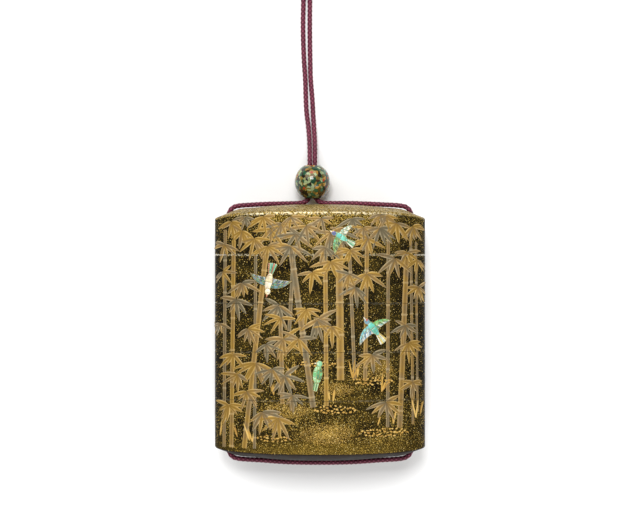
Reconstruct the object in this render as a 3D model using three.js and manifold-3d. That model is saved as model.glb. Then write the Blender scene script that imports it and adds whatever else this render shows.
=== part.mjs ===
// An inro: a small lacquer case in five sections that slide together and hang on a silk cord.
// Millimetres. The inro lies on its broad back: +Z is up, and +Y runs from the base to the lid.
import * as THREE from 'three';
import * as BufferGeometryUtils from 'three/addons/utils/BufferGeometryUtils.js';
import Module from 'manifold-3d';

const wasm = await Module();
wasm.setup();

// ---- driving dimensions ----

// The oval body
const HALF_WIDTH = 35.2;
const HALF_THICK = 12.5;
const OVAL_SIDES = 40;          // a flat side is centred on the front and on the back
const SEAMS = [25.7, 9.85, -6.0, -21.85];
const SEAM_GAP = 0.12;

// The lid's top and the base: straight at the narrow ends, arched across the width and domed
const CROWN = { side: 37.8, arch: 1.9, dome: 2.8 };
const BASE = { side: 38.2, arch: 1.2, dome: 3.1 };
const ARCH_POWER = 4;
const DOME_POWER = 2.5;
const DOME_RINGS = [0.97, 0.82, 0.58, 0.3];
const ROOF_RINGS = [0.65];      // the same on the inside
const EDGE = 0.5;               // how far the side stops short of the crown's edge
const BEYOND = 60;              // clear of both ends, for what cuts right through

// The inside
const ROOM = { halfWidth: 27.6, halfThick: 10.4 };
const RISER = { halfWidth: 28.4, halfThick: 11.2, height: 3.5 };
const SKIRT = { halfWidth: 28.7, halfThick: 11.5, depth: 3.8 };
const FLOOR = 1.4;
const SHELL = 2.2;              // the lid's roof and the base, measured along Y
const ROOM_SIDES = 28;
const OVERLAP = 1;              // how far joined or cut solids run into each other

// The cord and its channels
const CORD_RADIUS = 0.8;
const CORD_SIDES = 8;
const CHANNEL_X = 30.4;
const CHANNEL_RADIUS = 1.3;
const CHANNEL_SIDES = 10;
const CHANNEL_CORD_END = 37.0;

// The bead
const BEAD = { x: -2.6, y: 50.3, z: 6.0, radius: 5.95, halfLength: 6.3 };
const BEAD_BORE = [[1.95, 4.0], [2.3, 4.9], [2.9, 5.5]];   // [radius, distance from the middle]
const BEAD_SIDES = 18;
const BEAD_RINGS = 8;

// The knot
const KNOT = { x: -4.55, y: 117.5, z: 2.45, halfWidth: 3.3, halfLength: 3.5, halfHeight: 2.4 };
const TAIL = { spread: 0.95, y: 122.3, length: 6.4, z: 0.85 };

// The bamboo is raised lacquer; the inlaid birds stand just proud of it, over a thin bed of glue
const STALK_RELIEF = 0.2;
const INLAY_BED = 0.08;
const INLAY_RECESS = 1.08;      // the raised lacquer stops at a bird's outline grown by this factor
const WING = 0.3;
const BODY = 0.38;
const CURVE_SEGMENTS = 5;

const MERGE_DISTANCE = 1e-5;

// ---- solids ----

function solidOf(geometry) {
  const bare = geometry.clone();
  bare.deleteAttribute('normal');
  bare.deleteAttribute('uv');
  const merged = BufferGeometryUtils.mergeVertices(bare, MERGE_DISTANCE);
  const index = merged.index.array;
  const triVerts = [];
  for (let i = 0; i < index.length; i += 3) {
    const [a, b, c] = index.slice(i, i + 3);
    if (a !== b && b !== c && c !== a) triVerts.push(a, b, c);
  }
  return new wasm.Manifold(new wasm.Mesh({
    numProp: 3,
    vertProperties: new Float32Array(merged.attributes.position.array),
    triVerts: new Uint32Array(triVerts),
  }));
}

function namedMesh(name, solid, material) {
  const { vertProperties, triVerts } = solid.getMesh();
  const geometry = new THREE.BufferGeometry();
  geometry.setAttribute('position', new THREE.BufferAttribute(vertProperties, 3));
  geometry.setIndex(new THREE.BufferAttribute(triVerts, 1));
  geometry.computeVertexNormals();
  const mesh = new THREE.Mesh(geometry, material);
  mesh.name = name;
  return mesh;
}

// A solid of oval section along Y, from [fraction of the oval, y] points that start and end on the axis.
// A y that varies over the section is a function of x and z.
function oval(points, { halfWidth, halfThick }, sides) {
  const profile = points.map(([fraction]) => new THREE.Vector2(fraction, 0));
  const geometry = new THREE.LatheGeometry(profile, sides, Math.PI / sides);
  const toFlats = 1 / Math.cos(Math.PI / sides);
  geometry.scale(halfWidth * toFlats, 1, halfThick * toFlats);
  const position = geometry.attributes.position;
  for (let i = 0; i < position.count; i += 1) {
    const y = points[i % points.length][1];
    position.setY(i, typeof y === 'function' ? y(position.getX(i), position.getZ(i)) : y);
  }
  return solidOf(geometry);
}

function ovalColumn(size, low, high, sides) {
  return oval([[0, low], [1, low], [1, high], [0, high]], size, sides);
}

// ---- the lid's crown and the base ----

function endHeight(x, z, { side, arch, dome }) {
  const across = Math.min(1, Math.abs(x) / HALF_WIDTH);
  const out = Math.min(1, Math.hypot(x / HALF_WIDTH, z / HALF_THICK));
  return side + arch * (1 - across ** ARCH_POWER) + dome * (1 - out ** DOME_POWER);
}

// An oval column with one domed end. Its side stops `edge` short of the dome's rim.
function domedColumn(flatEnd, end, sign, { size, sides, rings }, { edge = 0, inset = 0 }) {
  const dome = (x, z) => sign * (endHeight(x, z, end) - inset);
  const rim = (x, z) => sign * (endHeight(x, z, end) - inset - edge);
  const points = [
    [0, flatEnd], [1, flatEnd], [1, rim], ...rings.map((ring) => [ring, dome]), [0, dome],
  ];
  return oval(sign > 0 ? points : points.reverse(), size, sides);
}

// ---- the inlaid birds: thin plates that follow the oval, drawn in the face's own plane ----

function ellipse(x, y, halfLength, halfHeight) {
  return new THREE.Shape().absellipse(x, y, halfLength, halfHeight, 0, 2 * Math.PI);
}

function blade(from, front, tip, back, to) {
  const shape = new THREE.Shape();
  shape.moveTo(...from);
  shape.quadraticCurveTo(...front, ...tip);
  shape.quadraticCurveTo(...back, ...to);
  shape.closePath();
  return shape;
}

function polygon(...corners) {
  return new THREE.Shape(corners.map(([x, y]) => new THREE.Vector2(x, y)));
}

const BIRDS = {
  flying: [
    [WING, blade([1.7, 0.3], [2.4, 4.4], [-1.9, 7.3], [-0.9, 3.6], [-1.5, 0.4])],
    [WING, blade([1.4, -0.3], [1.8, -3.9], [-1.7, -6.6], [-0.9, -3.0], [-1.5, -0.4])],
    [WING, blade([-2.2, 0.6], [-3.6, 0.7], [-6.0, 1.5], [-6.4, -0.2], [-5.8, -1.4])],
    [WING, polygon([-2.2, 0.6], [-5.8, -1.4], [-2.2, -0.6])],
    [BODY, ellipse(0, 0, 3.0, 1.15)],
    [BODY, ellipse(3.1, 0.3, 1.1, 0.95)],
    [WING, polygon([4.0, 0.75], [3.9, -0.1], [5.2, 0.2])],
  ],
  standing: [
    [BODY, ellipse(0, 0, 1.5, 3.0)],
    [BODY, ellipse(0.3, 3.5, 1.0, 1.05)],
    [WING, polygon([-0.4, 4.0], [-1.7, 3.5], [-0.4, 3.2])],
    [WING, polygon([-0.9, -2.0], [-1.0, -5.2], [0.3, -5.5], [0.9, -2.0])],
  ],
  walking: [
    [BODY, ellipse(0, 0, 3.5, 1.9)],
    [BODY, ellipse(-3.7, 1.1, 1.3, 1.05)],
    [WING, polygon([-4.6, 1.6], [-6.0, 1.0], [-4.7, 0.7])],
    [WING, polygon([2.6, 0.9], [6.4, 0.9], [6.2, -0.5], [2.6, -1.0])],
  ],
};

function inlayShell(thickness) {
  const grown = (by) => ({ halfWidth: HALF_WIDTH + by, halfThick: HALF_THICK + by });
  const top = ovalColumn(grown(INLAY_BED + thickness), -BEYOND + OVERLAP, BEYOND - OVERLAP, OVAL_SIDES);
  return top.subtract(ovalColumn(grown(INLAY_BED), -BEYOND, BEYOND, OVAL_SIDES));
}

const shells = new Map([[WING, inlayShell(WING)], [BODY, inlayShell(BODY)]]);

// A face's drawing, standing straight through the front half of the oval.
function prismOf(shape) {
  const options = { depth: 2 * HALF_THICK, bevelEnabled: false, curveSegments: CURVE_SEGMENTS };
  return solidOf(new THREE.ExtrudeGeometry(shape, options));
}

function joined(solids) {
  return solids.reduce((whole, solid) => whole.add(solid));
}

function placed(solid, { x, y, turn, flip = false, size = 1 }, growth = 1) {
  const side = flip ? -1 : 1;
  const scale = size * growth;
  return solid.scale([side * scale, scale, 1]).rotate([0, 0, turn]).translate([x, y, 0]);
}

function bird(facts) {
  const plates = BIRDS[facts.kind].map(([thickness, shape]) => (
    placed(prismOf(shape), facts).intersect(shells.get(thickness))
  ));
  return joined(plates);
}

// Places are seen square on, from the front for the front birds and from behind for the back birds.
const FRONT_BIRDS = {
  top: { kind: 'flying', x: 6.8, y: 31.6, turn: 148, size: 0.82 },
  left: { kind: 'flying', x: -16.6, y: 16.9, turn: 258 },
  right: { kind: 'flying', x: 17.2, y: 1.9, turn: 128, size: 0.95 },
  standing: { kind: 'standing', x: -0.8, y: -13.1, turn: -6 },
};
const BACK_BIRDS = {
  top: { kind: 'flying', x: 17.2, y: 31.4, turn: 62, size: 0.8 },
  left: { kind: 'flying', x: -17.6, y: 17.2, turn: 103, size: 0.95 },
  right: { kind: 'flying', x: 18.4, y: 2.2, turn: 56, size: 0.92 },
  standing_left: { kind: 'standing', x: -16.4, y: -13.8, turn: 4 },
  standing_right: { kind: 'standing', x: 12.2, y: -12.9, turn: -3, flip: true },
  walking: { kind: 'walking', x: 16.9, y: -29.2, turn: 3 },
};

// ---- the principal bamboo stalks, in raised lacquer ----

// [x at the top, top, x at the foot, foot, width], seen as the birds are.
const FRONT_STALKS = [
  [-28.3, 30.5, -29.1, -37.5, 1.5], [-17.4, 27.5, -24.8, -37.5, 1.7], [-12.8, 4.0, -12.2, -22.6, 1.4],
  [-9.4, 27.0, -2.2, -23.8, 1.9], [1.7, 26.6, 2.1, -23.4, 1.4], [6.2, 30.4, 6.7, -15.0, 2.4],
  [15.3, 29.4, 14.7, -15.2, 1.3], [22.3, 32.0, 22.1, -30.6, 1.1], [28.4, 24.5, 26.1, -30.8, 1.9],
];
const BACK_STALKS = [
  [-29.2, 26.0, -28.4, -37.5, 1.6], [-22.6, 31.0, -23.4, -30.2, 1.3], [-14.2, 29.0, -11.0, -19.8, 1.7],
  [-9.2, 30.2, -8.8, -16.4, 2.0], [10.6, 30.0, 8.4, -18.2, 1.3], [15.0, 33.0, 14.6, -15.6, 2.1],
  [22.8, 27.6, 25.2, -35.8, 1.7], [29.4, 31.0, 28.8, -37.5, 1.4],
];

function stalks(list, birds) {
  const core = { halfWidth: HALF_WIDTH - OVERLAP, halfThick: HALF_THICK - OVERLAP };
  const raised = { halfWidth: HALF_WIDTH + STALK_RELIEF, halfThick: HALF_THICK + STALK_RELIEF };
  const skin = ovalColumn(raised, -BEYOND, BEYOND, OVAL_SIDES)
    .subtract(ovalColumn(core, -BEYOND - OVERLAP, BEYOND + OVERLAP, OVAL_SIDES));
  const culms = list.map(([topX, top, footX, foot, width]) => prismOf(polygon(
    [footX - width / 2, foot], [footX + width / 2, foot], [topX + width / 2, top], [topX - width / 2, top],
  )));
  const recesses = Object.values(birds).flatMap((facts) => (
    BIRDS[facts.kind].map(([, shape]) => placed(prismOf(shape), facts, INLAY_RECESS))
  ));
  return joined(culms).intersect(skin).subtract(joined(recesses));
}

const allStalks = stalks(FRONT_STALKS, FRONT_BIRDS)
  .add(stalks(BACK_STALKS, BACK_BIRDS).rotate([0, 180, 0]));

// One section with its own lengths of the stalks.
function withStalks(section, low, high) {
  const band = { halfWidth: HALF_WIDTH + OVERLAP, halfThick: HALF_THICK + OVERLAP };
  return section.add(allStalks.intersect(
    ovalColumn(band, low + SEAM_GAP / 2, high - SEAM_GAP / 2, OVAL_SIDES),
  ));
}

// ---- the five sections ----

const OUTSIDE = { halfWidth: HALF_WIDTH, halfThick: HALF_THICK };
const OUTER_FORM = { size: OUTSIDE, sides: OVAL_SIDES, rings: DOME_RINGS };
const ROOM_FORM = { size: ROOM, sides: ROOM_SIDES, rings: ROOF_RINGS };

function cordChannels() {
  const bore = (x) => {
    const cylinder = new THREE.CylinderGeometry(CHANNEL_RADIUS, CHANNEL_RADIUS, 2 * BEYOND, CHANNEL_SIDES);
    return solidOf(cylinder.translate(x, 0, 0));
  };
  return bore(-CHANNEL_X).add(bore(CHANNEL_X));
}

const channels = cordChannels();

function skirtSocket(seam) {
  return ovalColumn(SKIRT, seam - OVERLAP, seam + SKIRT.depth, ROOM_SIDES);
}

function riser(seam) {
  return ovalColumn(RISER, seam - OVERLAP, seam + RISER.height, ROOM_SIDES);
}

function room(floor, seam) {
  return ovalColumn(ROOM, floor, seam + RISER.height + OVERLAP, ROOM_SIDES);
}

function lid() {
  const seam = SEAMS[0];
  const outer = domedColumn(seam + SEAM_GAP / 2, CROWN, 1, OUTER_FORM, { edge: EDGE });
  const hollow = domedColumn(seam + SKIRT.depth - OVERLAP, CROWN, 1, ROOM_FORM, { inset: SHELL });
  return withStalks(outer, seam, CROWN.side - EDGE)
    .subtract(skirtSocket(seam)).subtract(hollow).subtract(channels);
}

function middleCase(top, bottom) {
  const outer = ovalColumn(OUTSIDE, bottom + SEAM_GAP / 2, top - SEAM_GAP / 2, OVAL_SIDES);
  const floor = bottom + SKIRT.depth + FLOOR;
  return withStalks(outer, bottom, top).add(riser(top))
    .subtract(room(floor, top)).subtract(skirtSocket(bottom)).subtract(channels);
}

function baseCase() {
  const seam = SEAMS[SEAMS.length - 1];
  const outer = domedColumn(seam - SEAM_GAP / 2, BASE, -1, OUTER_FORM, { edge: EDGE });
  const hollow = domedColumn(seam + RISER.height + OVERLAP, BASE, -1, ROOM_FORM, { inset: SHELL });
  return withStalks(outer, EDGE - BASE.side, seam).add(riser(seam)).subtract(hollow).subtract(channels);
}

// ---- the bead, the cord and the knot ----

function bead() {
  const bore = BEAD_BORE.map(([r, y]) => new THREE.Vector2(r, y));
  const lowBore = bore.map((p) => new THREE.Vector2(p.x, -p.y));
  const mouth = Math.asin(bore[bore.length - 1].y / BEAD.halfLength);
  const outline = [];
  for (let i = 1; i < BEAD_RINGS; i += 1) {
    const angle = mouth * (2 * i / BEAD_RINGS - 1);
    outline.push(new THREE.Vector2(BEAD.radius * Math.cos(angle), BEAD.halfLength * Math.sin(angle)));
  }
  const profile = [...lowBore, ...outline, ...bore.reverse(), lowBore[0]];
  const geometry = new THREE.LatheGeometry(profile, BEAD_SIDES);
  return solidOf(geometry.translate(BEAD.x, BEAD.y, BEAD.z));
}

// Each route is the cord's middle line, in order.
const OVER_LID_LEFT = [
  [-30.4, 37.3, 12.5], [-30.4, 38.8, 12.5], [-29.95, 40.4, 12.45], [-28.8, 41.55, 12.25],
  [-27.2, 42.05, 11.9], [-22, 42.5, 10.5], [-17, 42.8, 9.1], [-11, 43.0, 7.5], [-6.65, 43.2, 6.35],
  [-5.05, 43.63, 6.1], [-3.88, 44.8, 6.0], [-3.45, 46.4, 6.0], [-3.45, 50.0, 6.0],
];
const OVER_LID_RIGHT = [
  [30.4, 37.3, 12.5], [30.4, 38.8, 12.5], [29.95, 40.4, 12.45], [28.8, 41.55, 12.3],
  [27.2, 42.05, 11.95], [20, 42.6, 10.35], [12, 43.0, 8.6], [6, 43.1, 7.3], [1.45, 43.2, 6.35],
  [-0.15, 43.63, 6.1], [-1.32, 44.8, 6.0], [-1.75, 46.4, 6.0], [-1.75, 50.0, 6.0],
];
const STRAND_LEFT = [
  [-3.45, 50.3, 6.0], [-3.45, 54.5, 6.0], [-3.45, 58.5, 5.3], [-3.5, 62.5, 4.0], [-3.7, 66.5, 2.65],
  [-4.1, 70.5, 1.6], [-4.6, 74.5, 1.0], [-4.8, 78.5, 0.85], [-5.05, 86, 0.85], [-5.45, 92, 0.85],
  [-5.7, 98, 0.85], [-5.8, 104, 0.85], [-5.65, 113.6, 0.85],
];
const STRAND_RIGHT = [
  [-1.75, 50.3, 6.0], [-1.75, 54.5, 6.0], [-1.75, 58.5, 5.3], [-1.75, 62.5, 4.0], [-1.9, 66.5, 2.65],
  [-2.15, 70.5, 1.6], [-2.4, 74.5, 1.0], [-2.6, 78.5, 0.85], [-3.2, 86, 0.85], [-3.35, 92, 0.85],
  [-3.45, 98, 0.85], [-3.5, 104, 0.85], [-3.45, 113.6, 0.85],
];
const UNDER_BASE_HALF = [
  [-30.4, -37.3, 12.5], [-30.4, -38.9, 12.5], [-29.95, -40.5, 12.5], [-28.8, -41.6, 12.5],
  [-27.2, -42.1, 12.5], [-20, -42.65, 12.5], [-10, -43.3, 12.5],
];
const UNDER_BASE = [
  ...UNDER_BASE_HALF, [0, -43.45, 12.5], ...UNDER_BASE_HALF.map(([x, y, z]) => [-x, y, z]).reverse(),
];

function cord(route, steps) {
  const path = new THREE.CatmullRomCurve3(route.map((p) => new THREE.Vector3(...p)), false, 'centripetal');
  const section = new THREE.Shape();
  for (let i = 0; i < CORD_SIDES; i += 1) {
    const angle = 2 * Math.PI * i / CORD_SIDES;
    const corner = [CORD_RADIUS * Math.cos(angle), CORD_RADIUS * Math.sin(angle)];
    if (i === 0) section.moveTo(...corner);
    else section.lineTo(...corner);
  }
  section.closePath();
  return solidOf(new THREE.ExtrudeGeometry(section, { steps, extrudePath: path, bevelEnabled: false }));
}

function straightCord(x) {
  const ends = [[x, -CHANNEL_CORD_END, HALF_THICK], [x, CHANNEL_CORD_END, HALF_THICK]];
  return cord(ends, 1);
}

// The two ends of the cord, tied together in one overhand knot, with short tails.
function knot() {
  const ball = new THREE.SphereGeometry(1, 12, 8);
  ball.scale(KNOT.halfWidth, KNOT.halfLength, KNOT.halfHeight).translate(KNOT.x, KNOT.y, KNOT.z);
  const tail = (x) => {
    const stub = new THREE.CylinderGeometry(CORD_RADIUS, CORD_RADIUS, TAIL.length, CORD_SIDES);
    return solidOf(stub.translate(x, TAIL.y, TAIL.z));
  };
  return solidOf(ball).add(tail(KNOT.x - TAIL.spread)).add(tail(KNOT.x + TAIL.spread));
}

// ---- materials ----

const lacquer = new THREE.MeshStandardMaterial({ color: '#4a3a20', roughness: 0.35, metalness: 0.5 });
const enamel = new THREE.MeshStandardMaterial({ color: '#3fa58c', roughness: 0.2, metalness: 0.0 });
const mosaic = new THREE.MeshStandardMaterial({ color: '#5f6b35', roughness: 0.15, metalness: 0.0 });
const silk = new THREE.MeshStandardMaterial({ color: '#6b2440', roughness: 0.75, metalness: 0.0 });

// ---- assembly ----

const inro = new THREE.Group();
inro.position.z = HALF_THICK;
inro.add(namedMesh('lid', lid(), lacquer));
SEAMS.slice(0, -1).forEach((top, i) => {
  inro.add(namedMesh(`case_${i + 1}`, middleCase(top, SEAMS[i + 1]), lacquer));
});
inro.add(namedMesh(`case_${SEAMS.length}`, baseCase(), lacquer));

for (const [place, facts] of Object.entries(FRONT_BIRDS)) {
  inro.add(namedMesh(`bird_front_${place}`, bird(facts), enamel));
}
for (const [place, facts] of Object.entries(BACK_BIRDS)) {
  const inlay = namedMesh(`bird_back_${place}`, bird(facts), enamel);
  inlay.rotation.y = Math.PI;
  inro.add(inlay);
}

const hanging = new THREE.Group();
hanging.add(namedMesh('ojime_bead', bead(), mosaic));
hanging.add(namedMesh('cord_channel_left', straightCord(-CHANNEL_X), silk));
hanging.add(namedMesh('cord_channel_right', straightCord(CHANNEL_X), silk));
hanging.add(namedMesh('cord_over_lid_left', cord(OVER_LID_LEFT, 17), silk));
hanging.add(namedMesh('cord_over_lid_right', cord(OVER_LID_RIGHT, 18), silk));
hanging.add(namedMesh('cord_strand_left', cord(STRAND_LEFT, 12), silk));
hanging.add(namedMesh('cord_strand_right', cord(STRAND_RIGHT, 12), silk));
hanging.add(namedMesh('cord_under_base', cord(UNDER_BASE, 20), silk));
hanging.add(namedMesh('cord_knot', knot(), silk));

const group = new THREE.Group();
group.add(inro, hanging);

export default group;
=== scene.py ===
import math
import random

import bmesh
import bpy
import numpy as np
from mathutils import Matrix, Vector


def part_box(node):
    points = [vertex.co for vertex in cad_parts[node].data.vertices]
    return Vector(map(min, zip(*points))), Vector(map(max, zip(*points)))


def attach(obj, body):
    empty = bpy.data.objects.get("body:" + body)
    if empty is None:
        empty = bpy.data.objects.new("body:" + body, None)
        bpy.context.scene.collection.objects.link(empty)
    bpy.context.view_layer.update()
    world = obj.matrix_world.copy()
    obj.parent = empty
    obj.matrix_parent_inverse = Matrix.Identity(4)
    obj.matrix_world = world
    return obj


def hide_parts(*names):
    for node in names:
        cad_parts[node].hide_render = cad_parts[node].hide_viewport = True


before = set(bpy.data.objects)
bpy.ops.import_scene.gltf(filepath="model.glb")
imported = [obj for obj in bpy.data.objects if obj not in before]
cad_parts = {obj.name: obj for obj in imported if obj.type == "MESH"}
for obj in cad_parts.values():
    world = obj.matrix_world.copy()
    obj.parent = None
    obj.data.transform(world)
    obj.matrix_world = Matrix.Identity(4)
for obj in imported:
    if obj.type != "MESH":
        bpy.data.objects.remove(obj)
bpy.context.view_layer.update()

# An inro in five sections, lying on its back. The work is drawn in millimetres: x across, y from the
# base to the lid, z up from the table.
MM = 0.001
SECTIONS = ("lid", "case_1", "case_2", "case_3", "case_4")
SEAM_GAP = 0.12
SEAMS = [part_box(name)[0].y / MM - SEAM_GAP / 2 for name in SECTIONS[:-1]]
SEAM_WEAR = [0.6, 0.12, 0.12, 0.12]     # how much the lacquer is rubbed along each seam
HALF_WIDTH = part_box("case_2")[1].x / MM
HALF_THICK = 12.5
RELIEF = 0.2                    # the lacquer ground lies this far under the top of the raised work
GROUND = (HALF_WIDTH - RELIEF, HALF_THICK - RELIEF)

CROWN = {"side": 37.8, "arch": 1.9, "dome": 2.8}
BASE = {"side": 38.2, "arch": 0.9, "dome": 3.4}
SHOULDER = {"height": 0.65, "x": 27.5, "reach": 4.0}
ARCH_POWER = 4
DOME_POWER = 2.5
ROOM = (27.6, 10.4)
RISER = (28.4, 11.2)
RISER_HEIGHT = 3.5
SKIRT = (28.7, 11.5)
SKIRT_DEPTH = 3.8
FLOOR = 1.4
SHELL = 2.2
CHANNEL_X = 30.4
CHANNEL_RADIUS = 1.3
OVAL_SIDES = 240

scene = bpy.context.scene


# ---------------------------------------------------------------- node trees

class Nodes:
    """Writes a node tree: each call adds one node, feeds its sockets and gives back one output."""

    def __init__(self, tree):
        self.tree = tree

    def __call__(self, kind, feeds=None, out=None, **settings):
        node = self.tree.nodes.new(kind)
        for name, value in settings.items():
            setattr(node, name, value)
        for key, value in (feeds or {}).items():
            socket = self.socket(node.inputs, key)
            if isinstance(value, bpy.types.NodeSocket):
                self.tree.links.new(value, socket)
            else:
                socket.default_value = value
        return self.socket(node.outputs, out) if node.outputs else node

    @staticmethod
    def socket(sockets, key):
        if isinstance(key, int):
            return sockets[key]
        return next(s for s in sockets if s.enabled and key in (None, s.name))

    def math(self, operation, a, b=0.0, clamp=False):
        return self("ShaderNodeMath", {0: a, 1: b}, operation=operation, use_clamp=clamp)

    def times(self, a, b):
        return self.math("MULTIPLY", a, b)

    def plus(self, a, b):
        return self.math("ADD", a, b)

    def minus(self, a, b):
        return self.math("SUBTRACT", a, b)

    def over(self, a, b):
        return self.math("DIVIDE", a, b)

    def absolute(self, a):
        return self.math("ABSOLUTE", a)

    def mix(self, factor, a, b):
        return self("ShaderNodeMix", {"Factor": factor, "A": a, "B": b}, data_type="RGBA")

    def between(self, value, low, high, to_low=0.0, to_high=1.0):
        feeds = {0: value, 1: low, 2: high, 3: to_low, 4: to_high}
        return self("ShaderNodeMapRange", feeds, interpolation_type="SMOOTHSTEP")

    def ramp(self, factor, stops, steps=False):
        node = self.tree.nodes.new("ShaderNodeValToRGB")
        ramp = node.color_ramp
        ramp.interpolation = "CONSTANT" if steps else "LINEAR"
        while len(ramp.elements) < len(stops):
            ramp.elements.new(0.5)
        for element, (place, tone) in zip(ramp.elements, stops):
            element.position, element.color = place, colour(tone)
        self.tree.links.new(factor, node.inputs[0])
        return node.outputs[0]

    def attribute(self, name, out="Fac"):
        return self("ShaderNodeAttribute", out=out, attribute_name=name)

    def noise(self, place, scale, detail, out="Fac"):
        return self("ShaderNodeTexNoise", {"Vector": place, "Scale": scale, "Detail": detail}, out=out)

    def cells(self, place, scale, out, randomness=1.0, **settings):
        feeds = {"Vector": place, "Scale": scale, "Randomness": randomness}
        return self("ShaderNodeTexVoronoi", feeds, out=out, **settings)

    def channel(self, mixed, name):
        return self("ShaderNodeSeparateColor", {"Color": mixed}, out=name)

    def ragged(self, place, amount, scale, detail):
        """The place, pushed about so that what is drawn on it has ragged edges."""
        warp = self.noise(place, scale, detail, "Color")
        return self("ShaderNodeMix", {"Factor": amount, "A": place, "B": warp}, data_type="VECTOR")

    def named(self, name, kind="FLOAT"):
        return self("GeometryNodeInputNamedAttribute", {"Name": name}, out="Attribute", data_type=kind)

    def keep(self, geometry, name, value, kind="FLOAT"):
        feeds = {"Geometry": geometry, "Name": name, "Value": value}
        return self("GeometryNodeStoreNamedAttribute", feeds, data_type=kind, domain="POINT")

    def position(self):
        return self("GeometryNodeInputPosition")

    def moved(self, geometry, **how):
        return self("GeometryNodeSetPosition", {"Geometry": geometry, **how})

    def parts_of(self, vector):
        return [self("ShaderNodeSeparateXYZ", {"Vector": vector}, out=axis) for axis in "XYZ"]

    def vector(self, x, y, z):
        return self("ShaderNodeCombineXYZ", {"X": x, "Y": y, "Z": z})

    def set_out(self, points, form, angle, *scale):
        """Copies of a form on points, each turned about z and scaled."""
        turn = self("FunctionNodeEulerToRotation", {"Euler": self.vector(0.0, 0.0, angle)})
        feeds = {"Points": points, "Instance": form, "Rotation": turn, "Scale": self.vector(*scale)}
        return self("GeometryNodeInstanceOnPoints", feeds)

    def drawn(self, given, low, high, salt):
        """A random number for each point or copy. Each salt gives another draw from the tree's seed."""
        seed = self.plus(given["Seed"], float(salt))
        return self("FunctionNodeRandomValue", {"Min": low, "Max": high, "Seed": seed}, data_type="FLOAT")


def colour(code):
    """A hex colour as a linear RGBA."""
    channels = [int(code[i:i + 2], 16) / 255 for i in (1, 3, 5)]
    return [c / 12.92 if c <= 0.04045 else ((c + 0.055) / 1.055) ** 2.4 for c in channels] + [1.0]


def new_material(name):
    """A bare material, its Nodes writer, and the place in the piece's own coordinates."""
    material = bpy.data.materials.new(name)
    material.use_nodes = True
    material.node_tree.nodes.clear()
    n = Nodes(material.node_tree)
    return material, n, n("ShaderNodeTexCoord", out="Object")


def surface(material, n, base, roughness, metallic=0.0, height=None, relief=0.0, **fixed):
    """Ends a material in one Principled shader. fixed are the values that are the same all over."""
    feeds = {"Base Color": base, "Roughness": roughness, "Metallic": metallic}
    if height is not None:
        feeds["Normal"] = n("ShaderNodeBump", {"Height": height, "Distance": relief, "Strength": 1.0})
    feeds.update({name.replace("_", " "): value for name, value in fixed.items()})
    shader = n("ShaderNodeBsdfPrincipled", feeds)
    n("ShaderNodeOutputMaterial", {"Surface": shader})
    return material


# ---------------------------------------------------------------- finishes

def lacquer_ground():
    """Black lacquer sprinkled with gold: coarse flakes by "dust", fine powder by "mist", and the pale marks
    by a figure of their own and along the seams: rubbed wear along the seams, wear with painted highlight
    on the lid's rim, and painted reflection on the lid's roof."""
    material, n, place = new_material("sprinkled_lacquer")
    dust, mist, wear_and_sheen = (n.attribute(name) for name in ("dust", "mist", "wear_and_sheen"))
    clouds = n.noise(place, 160.0, 3.0)
    ragged = n.ragged(place, 0.00009, 5200.0, 1.0)

    def flakes(scale, reach, share):
        draw = n.cells(ragged, scale, "Color")
        taken = n.math("LESS_THAN", n.channel(draw, "Red"), share)
        inside = n.math("LESS_THAN", n.cells(ragged, scale, "Distance"), reach)
        return n.times(taken, inside), n.channel(draw, "Green")

    uneven = n.times(dust, n.between(clouds, 0.3, 0.7, 0.6, 1.35))
    coarse, coarse_shade = flakes(3900.0, 0.47, uneven)
    fine, fine_shade = flakes(8200.0, 0.52, n.math("MAXIMUM", n.times(uneven, 0.75), mist))
    ground = n.mix(n.between(clouds, 0.25, 0.75), colour("#14110a"), colour("#29230f"))
    ground = n.mix(n.times(mist, 0.6), ground, colour("#5c4a1a"))
    powder = n.ramp(fine_shade, [(0.0, "#534314"), (0.5, "#8a6f2a"), (1.0, "#bd9d48")])
    gold = n.ramp(coarse_shade, [(0.0, "#7f6126"), (0.45, "#b8943f"), (0.85, "#dcbd66"), (1.0, "#f1dc9a")])
    base = n.mix(fine, ground, powder)
    base = n.mix(coarse, base, gold)
    pale_breakup = n.noise(place, 1500.0, 4.0)
    along = n("ShaderNodeSeparateXYZ", {"Vector": place}, out="Y")
    for seam, amount in zip(SEAMS, SEAM_WEAR):
        off = n.absolute(n.minus(along, seam * MM))
        wear_and_sheen = n.math("MAXIMUM", wear_and_sheen, n.between(off, 0.00015, 0.00042, amount, 0.0))
    worn_and_lit = n.math("MULTIPLY", wear_and_sheen, n.between(pale_breakup, 0.42, 0.6), clamp=True)
    # Pale colour: rubbed wear along the seams, wear with painted highlight on the lid's rim, painted
    # reflection on the lid's roof.
    base = n.mix(worn_and_lit, base, colour("#e6d8b2"))
    metal = n.math("MAXIMUM", coarse, n.times(fine, 0.8), clamp=True)
    rough = n.between(metal, 0.0, 1.0, 0.24, 0.38)
    height = n.plus(coarse, n.times(fine, 0.4))
    return surface(material, n, base, rough, n.times(metal, 0.5), height, 0.000012,
                   Specular_IOR_Level=0.02)


def black_lacquer():
    """Plain polished lacquer, inside and under the base."""
    material, n, place = new_material("black_lacquer")
    rubbing = n.noise(place, 240.0, 5.0)
    specks = n.cells(place, 1700.0, "Distance")
    base = n.mix(n.between(rubbing, 0.3, 0.75), colour("#17110d"), colour("#261e18"))
    base = n.mix(n.math("LESS_THAN", specks, 0.09), base, colour("#7a5c2a"))
    return surface(material, n, base, n.between(rubbing, 0.2, 0.8, 0.45, 0.6), 0.0, rubbing, 0.000015,
                   Specular_IOR_Level=0.07)


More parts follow.
